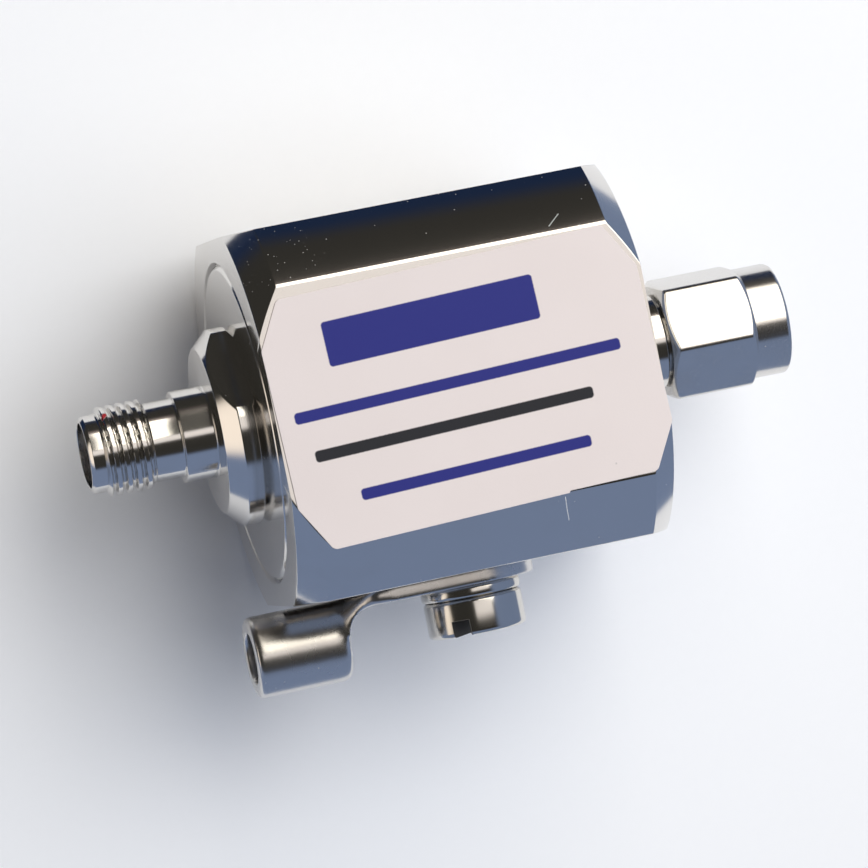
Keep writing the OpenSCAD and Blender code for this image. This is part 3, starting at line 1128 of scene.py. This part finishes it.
def present(
    piece: bpy.types.Object, body: Body, material: bpy.types.Material, stands_for: Sequence[str]
) -> None:
    """Dresses a new piece, ties it to its body and hides the CAD nodes that it stands for.

    Args:
        piece: The piece.
        body: Body that it rides on.
        material: Its finish.
        stands_for: CAD nodes that it replaces.
    """
    even_shading(piece)
    coat(piece, material)
    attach(piece, body.value)
    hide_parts(*stands_for)
    LOG.info("%s: %d faces on %s", piece.name, len(piece.data.polygons), body.value)


def dress_node(node: str, material: bpy.types.Material) -> None:
    """Gives a CAD node that stays a better finish.

    Args:
        node: Name of the node.
        material: The finish.
    """
    coat(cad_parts[node], material)
    LOG.info("%s: kept from the solids", node)


# Sub-assemblies


@dataclass
class Axes:
    """The two axes that pieces are turned about.

    Attributes:
        half: Half the housing's width, in millimetres.
    """

    half: float

    def coax(self, start: float) -> Matrix:
        """Axis along +X from a place on the coax line, with +Y kept."""
        turn = Matrix(((0, 0, 1), (0, 1, 0), (-1, 0, 0))).to_4x4()
        return Matrix.Translation((start, 0, self.half)) @ turn

    def ground(self, out: float = 0.0) -> Matrix:
        """Axis along -Y out of the ground flat, with +X kept."""
        turn = Matrix(((1, 0, 0), (0, 0, -1), (0, 1, 0))).to_4x4()
        return Matrix.Translation((0, -self.half - out, self.half)) @ turn

    @staticmethod
    def facing_label(turn: float) -> float:
        """Direction about the coax axis of a flat turned from the label side towards +Y, in degrees."""
        return 180.0 - turn


@dataclass
class Housing:
    """Square bar with turned corners and bevelled ends, and the cap pressed into it."""

    axes: Axes
    finishes: Finishes
    length: float
    start: float
    corner_r: float = 15.7
    end_r: float = 14.15
    bevel_len: float = 1.8
    chamber_r: float = 8.0
    cap_r: float = 11.2
    cap_t: float = 3.5
    plug_wall: float = 4.5
    spigot_r: float = 4.0
    seam: float = 0.25
    fit: float = 0.02
    hole_r: float = 2.05
    hole_depth: float = 4.5
    edge: float = 0.14
    flat_edge: float = 0.05
    seat_soft: float = 0.04
    bore_soft: float = 0.05
    seam_soft: float = 0.06
    edge_margin: float = 1.5
    steps: tuple[int, ...] = (6, 42, 14, 42, 6)
    hole_proud: float = 1.0
    hole_steps: int = 48
    cap_steps: int = 160

    def directions(self) -> np.ndarray:
        """Directions round the bar, close together where the flats meet the turned corners."""
        edge_in = math.degrees(math.acos(self.axes.half / self.end_r)) - self.edge_margin
        edge_out = math.degrees(math.acos(self.axes.half / self.corner_r)) + self.edge_margin
        stops = (0.0, edge_in, edge_out, 90.0 - edge_out, 90.0 - edge_in, 90.0)
        stretches = zip(stops, stops[1:], self.steps)
        quarter = np.concatenate([
            np.linspace(low, high, count, endpoint=False) for low, high, count in stretches
        ])
        return np.radians(np.concatenate([quarter + 90.0 * k for k in range(4)]))

    def build_bar(self) -> bpy.types.Object:
        """Makes the bar with its chamber, bores and tapped hole."""
        seat_r, bore_r, far = self.cap_r + self.fit, self.spigot_r + self.fit, self.length
        bar = Turned(
            corners=[
                (0.0, seat_r + self.seam, self.seat_soft), (0.0, self.end_r, self.edge),
                (self.bevel_len, self.corner_r, self.edge), (far - self.bevel_len, self.corner_r, self.edge),
                (far, self.end_r, self.edge), (far, bore_r, self.bore_soft),
                (far - self.plug_wall, bore_r, 0.0), (far - self.plug_wall, self.chamber_r, 0.0),
                (self.cap_t, self.chamber_r, 0.0), (self.cap_t, seat_r, 0.0), (self.seam, seat_r, 0.0),
            ],
            facets=Facets(4, self.axes.half, 0.0, self.flat_edge),
            angles=self.directions(),
        )
        piece = skin("housing_bar", bar.rings(), self.axes.coax(self.start))
        hole = Turned([
            (-self.hole_depth, 0.0, 0.0), (-self.hole_depth, self.hole_r, 0.0),
            (self.hole_proud, self.hole_r, 0.0), (self.hole_proud, 0.0, 0.0),
        ], segments=self.hole_steps)
        carve(piece, skin("cutter", hole.rings(), self.axes.ground()), SHARP_TURNED)
        return piece

    def build_cap(self) -> bpy.types.Object:
        """Makes the end cap with the bevel of its seam."""
        bore = self.spigot_r + self.fit
        cap = Turned([
            (0.0, bore, self.bore_soft), (0.0, self.cap_r - self.seam, self.seam_soft),
            (self.seam, self.cap_r, self.seam_soft), (self.cap_t, self.cap_r, 0.0), (self.cap_t, bore, 0.0),
        ], segments=self.cap_steps)
        return skin("pressed_cap", cap.rings(), self.axes.coax(self.start))

    def dress(self) -> None:
        """Builds both pieces and gives them their finish."""
        present(self.build_bar(), Body.ARRESTOR, self.finishes.nickel, ["housing"])
        present(self.build_cap(), Body.ARRESTOR, self.finishes.nickel, ["end_cap"])


@dataclass
class JackEnd:
    """Turned jack with its nose, thread, relief, shoulder and wrench flange, and the contact inside it."""

    axes: Axes
    finishes: Finishes
    tip: float
    nose_r: float = 2.75
    nose_len: float = 1.05
    thread_r: float = 3.175
    thread_floor: float = 2.80
    thread_len: float = 3.5
    pitch: float = 25.4 / 36
    crest_share: float = 0.38
    bevel: float = 0.25
    relief_r: float = 2.8
    relief_len: float = 2.05
    shoulder_r: float = 3.25
    shoulder_len: float = 2.3
    flange_r: float = 7.0
    flange_t: float = 2.6
    flange_face_r: float = 5.85
    flange_edge: float = 0.35
    flats: float = 12.0
    flat_turn: float = 41.0
    spigot_r: float = 4.0
    spigot_len: float = 3.5
    socket_r: float = 2.3
    socket_depth: float = 1.9
    bore_r: float = 2.07
    lip_soft: float = 0.05
    nose_soft: float = 0.06
    rear_soft: float = 0.08
    shoulder_soft: float = 0.10
    step_soft: float = 0.12
    flat_soft: float = 0.08
    steps: int = 256
    fine: float = 0.03

    def build(self) -> bpy.types.Object:
        """Makes the jack."""
        thread_end = self.nose_len + self.thread_len
        relief_end = thread_end + self.relief_len
        flange_start = relief_end + self.shoulder_len
        flange_end = flange_start + self.flange_t
        end = flange_end + self.spigot_len
        shell = Turned(
            corners=[
                (0.0, self.socket_r, self.lip_soft), (0.0, self.nose_r - self.bevel, self.nose_soft),
                (self.bevel, self.nose_r, self.nose_soft), (self.nose_len, self.nose_r, 0.0),
                (self.nose_len + self.bevel, self.thread_r, 0.0),
                (thread_end - self.bevel, self.thread_r, 0.0), (thread_end, self.relief_r, self.lip_soft),
                (relief_end, self.relief_r, self.step_soft),
                (relief_end, self.shoulder_r, self.shoulder_soft),
                (flange_start, self.shoulder_r, self.step_soft),
                (flange_start, self.flange_face_r, self.step_soft),
                (flange_start + self.flange_r - self.flange_face_r, self.flange_r, self.step_soft),
                (flange_end - self.flange_edge, self.flange_r, self.rear_soft),
                (flange_end, self.flange_r - self.flange_edge, 0.0), (flange_end, self.spigot_r, 0.0),
                (end, self.spigot_r, 0.0), (end, self.bore_r, 0.0),
                (self.socket_depth, self.bore_r, 0.0), (self.socket_depth, self.socket_r, 0.0),
            ],
            segments=self.steps,
            facets=Facets(2, self.flats / 2, Axes.facing_label(self.flat_turn), self.flat_soft),
            threads=(Thread(self.nose_len, thread_end, self.thread_floor, self.pitch, self.crest_share),),
            fine=self.fine,
        )
        return skin("jack_body", shell.rings(), self.axes.coax(self.tip))

    def dress(self) -> None:
        """Builds the jack and finishes what sits in it."""
        present(self.build(), Body.ARRESTOR, self.finishes.nickel, ["jack_shell"])
        dress_node("jack_insulator", self.finishes.insulator)
        dress_node("jack_contact", self.finishes.gold)


@dataclass
class PlugEnd:
    """Turned plug body and the coupling nut that turns on it."""

    axes: Axes
    finishes: Finishes
    start: float
    wall: float = 4.5
    spigot_r: float = 4.0
    neck_r: float = 3.4
    neck_len: float = 3.35
    end_gap: float = 0.15
    barrel_r: float = 2.75
    barrel_end: float = 6.85
    nose_r: float = 2.275
    plane: float = 8.85
    bore_r: float = 2.07
    groove_start: float = 4.93
    groove_len: float = 0.64
    groove_r: float = 2.35
    nut_len: float = 8.8
    nut_flats: float = 8.0
    nut_turn: float = 18.0
    nut_soft: float = 0.35
    collar_r: float = 4.0
    collar_len: float = 2.55
    collar_edge: float = 0.6
    nut_bore_r: float = 2.8
    nut_minor_r: float = 2.85
    nut_major_r: float = 3.2
    nut_groove_r: float = 3.25
    nut_groove_start: float = 1.5
    nut_groove_len: float = 0.8
    mouth_r: float = 3.3
    thread_start: float = 4.3
    pitch: float = 25.4 / 36
    slope: float = math.tan(math.radians(30))
    neck_soft: float = 0.10
    barrel_soft: float = 0.05
    nose_soft: float = 0.06
    bore_soft: float = 0.03
    face_inset: float = 0.06
    face_soft: float = 0.10
    collar_soft: float = 0.06
    mouth_soft: float = 0.06
    tip_over: float = 0.25
    nut_steps: int = 180

    def build_body(self) -> bpy.types.Object:
        """Makes the plug body with its spigot, neck, barrel, ring groove and nose."""
        neck_end, groove_end = self.neck_len - self.end_gap, self.groove_start + self.groove_len
        body = Turned([
            (-self.wall, self.bore_r, 0.0), (-self.wall, self.spigot_r, 0.0), (0.0, self.spigot_r, 0.0),
            (0.0, self.neck_r, 0.0), (neck_end, self.neck_r, self.neck_soft), (neck_end, self.barrel_r, 0.0),
            (self.groove_start, self.barrel_r, 0.0), (self.groove_start, self.groove_r, 0.0),
            (groove_end, self.groove_r, 0.0), (groove_end, self.barrel_r, 0.0),
            (self.barrel_end, self.barrel_r, self.barrel_soft), (self.barrel_end, self.nose_r, 0.0),
            (self.plane, self.nose_r, self.nose_soft), (self.plane, self.bore_r, self.bore_soft),
        ])
        return skin("plug_body", body.rings(), self.axes.coax(self.start))

    def build_nut(self) -> bpy.types.Object:
        """Makes the coupling nut with its hexagon, round collar and inner thread."""
        hex_len, flat_r = self.nut_len - self.collar_len, self.nut_flats / 2
        tip_r = self.nut_flats / math.sqrt(3) + self.tip_over
        rise = (tip_r - flat_r) * self.slope
        groove_end = self.nut_groove_start + self.nut_groove_len
        mouth_start = self.nut_len - (self.mouth_r - self.nut_minor_r)
        nut = Turned(
            corners=[
                (0.0, self.nut_bore_r, self.face_soft), (0.0, flat_r - self.face_inset, self.face_soft),
                (rise, tip_r, 0.0), (hex_len - rise, tip_r, 0.0),
                (hex_len, flat_r, self.collar_soft), (self.nut_len, self.collar_r, self.collar_edge),
                (self.nut_len, self.mouth_r, self.mouth_soft), (mouth_start, self.nut_minor_r, 0.0),
                (self.thread_start, self.nut_minor_r, 0.0), (groove_end, self.nut_minor_r, 0.0),
                (groove_end, self.nut_groove_r, 0.0), (self.nut_groove_start, self.nut_groove_r, 0.0),
                (self.nut_groove_start, self.nut_bore_r, 0.0),
            ],
            segments=self.nut_steps,
            facets=Facets(6, flat_r, Axes.facing_label(self.nut_turn), self.nut_soft),
            threads=(Thread(self.thread_start, mouth_start, self.nut_major_r, self.pitch),),
        )
        return skin("nut_shell", nut.rings(), self.axes.coax(self.start + self.neck_len))

    def dress(self) -> None:
        """Builds both pieces and finishes what sits in the plug."""
        present(self.build_body(), Body.ARRESTOR, self.finishes.nickel, ["plug_shell"])
        present(self.build_nut(), Body.NUT, self.finishes.satin, ["coupling_nut"])
        dress_node("plug_insulator", self.finishes.insulator)
        dress_node("plug_pin", self.finishes.gold)
        dress_node("plug_gasket", self.finishes.gasket)
        dress_node("snap_ring", self.finishes.spring)


@dataclass
class ArrestorCore:
    """Conductor, gas tube, leaf spring and saddle inside the housing, kept from the solids."""

    finishes: Finishes

    def dress(self) -> None:
        """Finishes the inner pieces."""
        dress_node("centre_conductor", self.finishes.gold)
        dress_node("gas_tube_ceramic", self.finishes.ceramic)
        for node in ("gas_tube_line_cap", "gas_tube_earth_cap", "contact_spring"):
            dress_node(node, self.finishes.spring)
        dress_node("earth_saddle", self.finishes.brass)


@dataclass
class GroundTerminal:
    """Ring lug, spring washer and slotted screw on the ground flat."""

    axes: Axes
    finishes: Finishes
    lug_t: float = 1.1
    washer_r: float = 3.55
    washer_bore: float = 2.15
    washer_t: float = 0.9
    washer_edge: float = 0.28
    split_w: float = 0.5
    split_lean: float = 45.0
    head_r: float = 3.5
    head_h: float = 2.6
    head_edge: float = 0.35
    head_under: float = 0.28
    slot_w: float = 1.2
    slot_depth: float = 1.1
    slot_turn: float = 30.0
    shank_r: float = 2.0
    shank_floor: float = 1.6
    shank_len: float = 6.0
    shank_point: float = 0.4
    shank_plain: float = 0.3
    shank_lead: float = 0.01
    pitch: float = 0.7
    steps: int = 120
    voxel: float = 0.10
    ease: float = 0.5
    smoothing: int = 20
    bend_from: float = -11.2
    bend_to: float = -6.2
    bend_fade: float = 1.4
    bend_smoothing: int = 90

    @property
    def head_out(self) -> float:
        """Distance from the ground flat to the underside of the screw's head."""
        return self.lug_t + self.washer_t

    def plate(self) -> bpy.types.Material:
        """Makes the screw's plating, with painted shade in the driver slot."""
        floor_y = -self.axes.half - self.head_out - self.head_h + self.slot_depth
        slot_shade = SlotShade((0.0, self.axes.half), math.radians(self.slot_turn), self.slot_w / 2, floor_y)
        return PlateFinish("screw_plate", (0.68, 0.66, 0.62), (0.57, 0.52, 0.44), 0.14, slot_shade=slot_shade).build()

    def build_lug(self) -> bpy.types.Object:
        """Makes the lug from the solid's form, with its folds and edges run smooth as in bent sheet."""
        piece = placed("lug_sheet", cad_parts["ground_lug"].data.copy())
        grid = piece.modifiers.new("grid", "REMESH")
        grid.mode, grid.voxel_size = "VOXEL", self.voxel * MM
        ease = piece.modifiers.new("ease", "SMOOTH")
        ease.factor, ease.iterations = self.ease, self.smoothing
        bake(piece)
        self.soften_bend(piece)
        piece.data.shade_smooth()
        return piece

    def soften_bend(self, piece: bpy.types.Object) -> None:
        """Runs the bend between the lug's tongue and its barrel into one soft sweep.

        Args:
            piece: The lug.
        """
        bend = piece.vertex_groups.new(name="bend")
        for vertex in piece.data.vertices:
            along = vertex.co.x / MM
            inside = min(along - self.bend_from, self.bend_to - along) / self.bend_fade
            bend.add([vertex.index], min(max(inside, 0.0), 1.0), "REPLACE")
        ease = piece.modifiers.new("bend", "SMOOTH")
        ease.factor, ease.iterations, ease.vertex_group = self.ease, self.bend_smoothing, bend.name
        bake(piece)
        piece.vertex_groups.clear()

    def build_washer(self) -> bpy.types.Object:
        """Makes the washer with its edges rounded and its slanted split."""
        ring = Turned(
            corners=[
                (0.0, self.washer_bore, self.washer_edge), (0.0, self.washer_r, self.washer_edge),
                (self.washer_t, self.washer_r, self.washer_edge),
                (self.washer_t, self.washer_bore, self.washer_edge),
            ],
            segments=self.steps,
        )
        seat = self.axes.ground(self.lug_t)
        piece = skin("split_washer", ring.rings(), seat)
        across = 2 * self.washer_r
        middle = Matrix.Translation((self.washer_r, 0, self.washer_t / 2))
        lean = Matrix.Rotation(math.radians(self.split_lean), 4, "X")
        carve(piece, block((across, self.split_w, 2 * across), seat @ middle @ lean), SHARP_CUT)
        return piece

    def build_screw(self) -> bpy.types.Object:
        """Makes the screw with its head, driver slot and threaded shank."""
        end, plain = -self.shank_len, -self.shank_plain
        turned = Turned(
            corners=[
                (end, 0.0, 0.0), (end, self.shank_floor, 0.0), (end + self.shank_point, self.shank_r, 0.0),
                (plain, self.shank_r, 0.0), (0.0, self.shank_r, 0.0), (0.0, self.head_r, self.head_under),
                (self.head_h, self.head_r, self.head_edge), (self.head_h, 0.0, 0.0),
            ],
            segments=self.steps,
            threads=(Thread(end + self.shank_lead, plain, self.shank_floor, self.pitch),),
        )
        seat = self.axes.ground(self.head_out)
        piece = skin("slotted_screw", turned.rings(), seat)
        turn = Matrix.Rotation(math.radians(90 + self.slot_turn), 4, "Z")
        lift = Matrix.Translation((0, 0, self.head_h))
        cutter = block((3 * self.head_r, self.slot_w, 2 * self.slot_depth), seat @ turn @ lift)
        carve(piece, cutter, SHARP_CUT)
        return piece

    def dress(self) -> None:
        """Builds the three pieces and gives them their finish."""
        plate = self.plate()
        present(self.build_lug(), Body.LUG, self.finishes.tin, ["ground_lug"])
        present(self.build_washer(), Body.WASHER, plate, ["spring_washer"])
        present(self.build_screw(), Body.SCREW, plate, ["ground_screw"])


@dataclass
class LabelSheet:
    """White film stuck a little askew on the front flat, nicked at its lower edge."""

    place: LabelPlace
    half_len: float = 13.38
    half_high: float = 8.68
    bend_x: float = 11.58
    bend_y: float = 5.47
    corner: float = 0.5
    nick_x: float = 5.3
    nick_step: float = 0.14
    nick_run: float = 0.12
    nick_corner: float = 0.03
    nick_reach: float = 1.0
    corner_steps: int = 8
    edge: float = 0.03
    edge_angle: float = 60.0

    def outline(self) -> list[Vector]:
        """Outline of the film with rounded corners and the nick in its lower edge."""
        corners = [
            (self.half_len, -self.bend_y), (self.half_len, self.bend_y), (self.bend_x, self.half_high),
            (-self.bend_x, self.half_high), (-self.half_len, self.bend_y), (-self.half_len, -self.bend_y),
            (-self.bend_x, -self.half_high), (self.nick_x - self.nick_run, -self.half_high),
            (self.nick_x, -self.half_high + self.nick_step),
            (self.bend_x, -self.half_high + self.nick_step / 2),
        ]
        points = [Vector(corner) for corner in corners]
        full: list[Vector] = []
        for i, point in enumerate(points):
            radius = self.nick_corner if abs(point.x - self.nick_x) < self.nick_reach else self.corner
            full += arc(points[i - 1], point, points[(i + 1) % len(points)], radius, self.corner_steps)
        return full

    def build(self) -> bpy.types.Object:
        """Makes the film with a soft edge."""
        outline = self.outline()
        turn = Matrix.Rotation(math.radians(self.place.turn), 4, "Z")
        place = Matrix.Translation((0, self.place.shift_y, self.place.base)) @ turn
        work = bmesh.new()
        ring = [work.verts.new(place @ Vector((point.x, point.y, 0)) * MM) for point in outline]
        floor = work.faces.new(ring)
        lifted = bmesh.ops.extrude_face_region(work, geom=[floor])["geom"]
        tops = [part for part in lifted if isinstance(part, bmesh.types.BMVert)]
        bmesh.ops.translate(work, vec=(0, 0, self.place.thickness * MM), verts=tops)
        piece = finish_mesh("label_film", written("label_film", work), SHARP_FILM)
        bevelled(piece, self.edge, self.edge_angle)
        return piece

    def dress(self) -> None:
        """Builds the film and gives it its finish."""
        finish = LabelFinish("label_film", self.place).build()
        present(self.build(), Body.ARRESTOR, finish, ["label"])


# Studio


@dataclass(frozen=True)
class PaperFinish:
    """Plain pale paper with a faint mottling."""

    name: str
    pale: Colour = (0.97, 0.97, 0.97)
    shade: Colour = (0.965, 0.965, 0.965)
    grain_scale: float = 1.2
    shade_at: tuple[float, float] = (0.35, 0.65)
    roughness: float = 0.85
    gloss_change: float = 0.1
    specular: float = 0.1

    def build(self) -> bpy.types.Material:
        """Makes the material."""
        material, tree = new_material(self.name)
        place = tree.millimetres()
        grain = tree.noise(place, self.grain_scale, Detail.HIGH)
        tree.surface(
            {
                "Base Color": tree.mix(grain.step(*self.shade_at), self.pale, self.shade),
                "Roughness": self.roughness + (grain - 0.5) * self.gloss_change,
                "Specular IOR Level": self.specular,
            }
        )
        return material


@dataclass
class Studio:
    """Sheet of paper, soft light, a dim room and the photograph's camera.

    Attributes:
        half: Height of the coax line over the floor, in millimetres, as are the other lengths.
        sheet_middle: Middle of the sheet, which lies square to the camera.
        sheet_half: Half the sheet's side.
        sheet_steps: Number of fields along a side.
        key_from: Direction of the main light.
        key_distance: Distance of the main light from the part.
        key_size: Its size along the part and across it.
        key_power: Its power in watts.
        fill_from: Direction of the fill, which metal doesn't mirror.
        front_tilt: Angles from overhead towards +Y between which the room's dark turns to slate, in degrees.
        back_tilt: Angles between which the dark turns to night blue.
        back_skew: Rise of those angles towards the jack.
        under: Reach of the dark between slate and night under the part.
        glow_tilt: Angles that hold a glow overhead, with the width of its edges.
        glow_x: Reach of that glow along the part, with the width of its edges.
        halo_tilt: Angles that hold a dim halo past the main light, with the width of its edges.
        halo_x: Reach of that halo along the part, with the width of its edges.
        card_x: Directions along the part between which a bright card at the jack starts.
        card_z: Directions upwards between which that card starts.
        side_x: Directions along the part between which the room turns to slate at the plug.
        right: The camera's own right in the part's frame.
        up: The camera's own up.
        aim: Place of the middle of the picture from the coax line, to the camera's right and up.
        distance: Distance of the camera from that place.
        clip: Distances in metres between which the camera sees.
    """

    half: float
    sheet_middle: tuple[float, float] = (2.78, -3.58)
    sheet_half: float = 36.0
    sheet_steps: int = 8
    key_from: tuple[float, float, float] = (0.42, 0.581, 0.814)
    key_distance: float = 400.0
    key_size: tuple[float, float] = (300.0, 408.0)
    key_power: float = 0.85
    key_tint: Colour = (1.09, 1.03, 0.91)
    fill_from: tuple[float, float, float] = (0.45, 0.1, 0.9)
    fill_distance: float = 1000.0
    fill_size: tuple[float, float] = (1200.0, 1200.0)
    fill_power: float = 8.0
    fill_tint: Colour = (0.93, 0.98, 1.07)
    dark: Colour = (0.036, 0.034, 0.030)
    slate: Colour = (0.196, 0.256, 0.400)
    night: Colour = (0.012, 0.024, 0.062)
    glow: Colour = (1.05, 0.98, 0.94)
    card: Colour = (1.30, 1.15, 1.00)
    front_tilt: tuple[float, float] = (-41.0, -52.0)
    back_tilt: tuple[float, float] = (97.0, 113.0)
    back_skew: float = 25.0
    under: float = 0.15
    glow_tilt: tuple[float, float, float] = (-8.0, 12.0, 6.0)
    glow_x: tuple[float, float, float] = (-0.2, 0.6, 0.1)
    halo: Colour = (0.30, 0.245, 0.225)
    halo_tilt: tuple[float, float, float] = (45.0, 74.0, 11.0)
    halo_x: tuple[float, float, float] = (0.0, 0.75, 0.08)
    card_x: tuple[float, float] = (-0.90, -0.97)
    card_z: tuple[float, float] = (0.0, 0.08)
    side_x: tuple[float, float] = (0.50, 0.70)
    right: tuple[float, float, float] = (0.96103, -0.19537, 0.19557)
    up: tuple[float, float, float] = (0.19464, 0.98060, 0.02312)
    aim: tuple[float, float] = (0.296, -3.334)
    distance: float = 365.9
    sensor: float = 36.0
    lens: float = 215.3
    clip: tuple[float, float] = (0.01, 20.0)

    def build_floor(self) -> None:
        """Lays the sheet under the part."""
        work = bmesh.new()
        turn = Matrix.Rotation(math.atan2(self.right[1], self.right[0]), 4, "Z")
        place = Matrix.Translation(Vector((*self.sheet_middle, 0.0)) * MM) @ turn
        steps = self.sheet_steps
        half = self.sheet_half * MM
        bmesh.ops.create_grid(work, x_segments=steps, y_segments=steps, size=half, matrix=place)
        floor = placed("floor", written("floor", work))
        coat(floor, PaperFinish("floor_paper").build())

    def build_light(self) -> None:
        """Hangs a soft light at the back and the plug end, and a wide fill that metal doesn't mirror."""
        key_offset = Vector(self.key_from).normalized() * self.key_distance
        self.hang("soft_light", key_offset, self.key_size, self.key_power, self.key_tint)
        fill_offset = Vector(self.fill_from).normalized() * self.fill_distance
        fill = self.hang("fill", fill_offset, self.fill_size, self.fill_power, self.fill_tint)
        fill.visible_glossy = False

    def hang(
        self, name: str, offset: Vector, size: tuple[float, float], power: float, tint: Colour
    ) -> bpy.types.Object:
        """Hangs a flat soft light that faces the middle of the part.

        Args:
            name: Name of the light.
            offset: Its place from the middle of the part, in millimetres.
            size: Its size along the part and across it, in millimetres.
            power: Its power, in watts.
            tint: Its colour.

        Returns:
            The light.
        """
        lamp = bpy.data.lights.new(name, "AREA")
        lamp.shape, lamp.energy, lamp.color = "RECTANGLE", power, tint
        lamp.size, lamp.size_y = (side * MM for side in size)
        back = offset.normalized()
        along = (Vector((1, 0, 0)) - back * back.x).normalized()
        turn = Matrix((along, back.cross(along), back)).transposed().to_4x4()
        hung = placed(name, lamp)
        hung.matrix_world = Matrix.Translation((Vector((0, 0, self.half)) + offset) * MM) @ turn
        return hung

    def build_world(self) -> None:
        """Surrounds the part with a dim room that has a glow overhead and a bright card at the jack."""
        world = bpy.data.worlds.new("room")
        bpy.context.scene.world = world
        world.use_nodes = True
        tree = Tree(world.node_tree)
        x, y, z = tree.split(tree.node("ShaderNodeTexCoord", out="Generated"))
        tilt = tree.node("ShaderNodeMath", {"operation": "ARCTAN2"}, {0: y, 1: z}) * (180 / math.pi)
        front = tilt.step(*self.front_tilt) * y.step(0.0, -self.under)
        behind = (tilt + x * self.back_skew).step(*self.back_tilt) * y.step(0.0, self.under)
        above = self.band(tilt, *self.glow_tilt) * self.band(x, *self.glow_x)
        past_key = self.band(tilt, *self.halo_tilt) * self.band(x, *self.halo_x)
        beside = x.step(*self.card_x) * z.step(*self.card_z)
        colour = tree.mix(front, self.dark, self.slate)
        colour = tree.mix(behind, colour, self.night)
        colour = tree.mix(x.step(*self.side_x), colour, self.slate)
        colour = tree.mix(past_key, colour, self.halo)
        colour = tree.mix(above, colour, self.glow)
        colour = tree.mix(beside, colour, self.card)
        shader = tree.node("ShaderNodeBackground", None, {"Color": colour, "Strength": 1.0})
        tree.node("ShaderNodeOutputWorld", None, {"Surface": shader})

    @staticmethod
    def band(value: Value, low: float, high: float, edge: float) -> Value:
        """Share that is 1 between two values and falls off over an edge within both ends."""
        return value.step(low, low + edge) * value.step(high, high - edge)

    def build_camera(self) -> None:
        """Sets up the photograph's camera."""
        right, up = Vector(self.right), Vector(self.up)
        back = right.cross(up)
        lens = bpy.data.cameras.new("photo_camera")
        lens.sensor_width, lens.lens = self.sensor, self.lens
        lens.clip_start, lens.clip_end = self.clip
        camera = placed("photo_camera", lens)
        place = Vector((0, 0, self.half)) + right * self.aim[0] + up * self.aim[1] + back * self.distance
        turn = Matrix((right, up, back)).transposed().to_4x4()
        camera.matrix_world = Matrix.Translation(place * MM) @ turn
        bpy.context.scene.camera = camera

    def build(self) -> None:
        """Sets up everything round the part."""
        self.build_floor()
        self.build_light()
        self.build_world()
        self.build_camera()
        bpy.context.scene.view_settings.view_transform = "Standard"


def main() -> None:
    """Builds every piece in order, then the studio."""
    logging.basicConfig(level=logging.INFO, format="%(name)s %(message)s")
    low, high = (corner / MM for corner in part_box("housing"))
    axes = Axes((high.z - low.z) / 2)
    finishes = Finishes()
    Housing(axes, finishes, high.x - low.x, low.x).dress()
    JackEnd(axes, finishes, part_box("jack_shell")[0].x / MM).dress()
    PlugEnd(axes, finishes, high.x).dress()
    ArrestorCore(finishes).dress()
    GroundTerminal(axes, finishes).dress()
    LabelSheet(LabelPlace(high.z)).dress()
    Studio(axes.half).build()


if __name__ == "__main__":
    main()
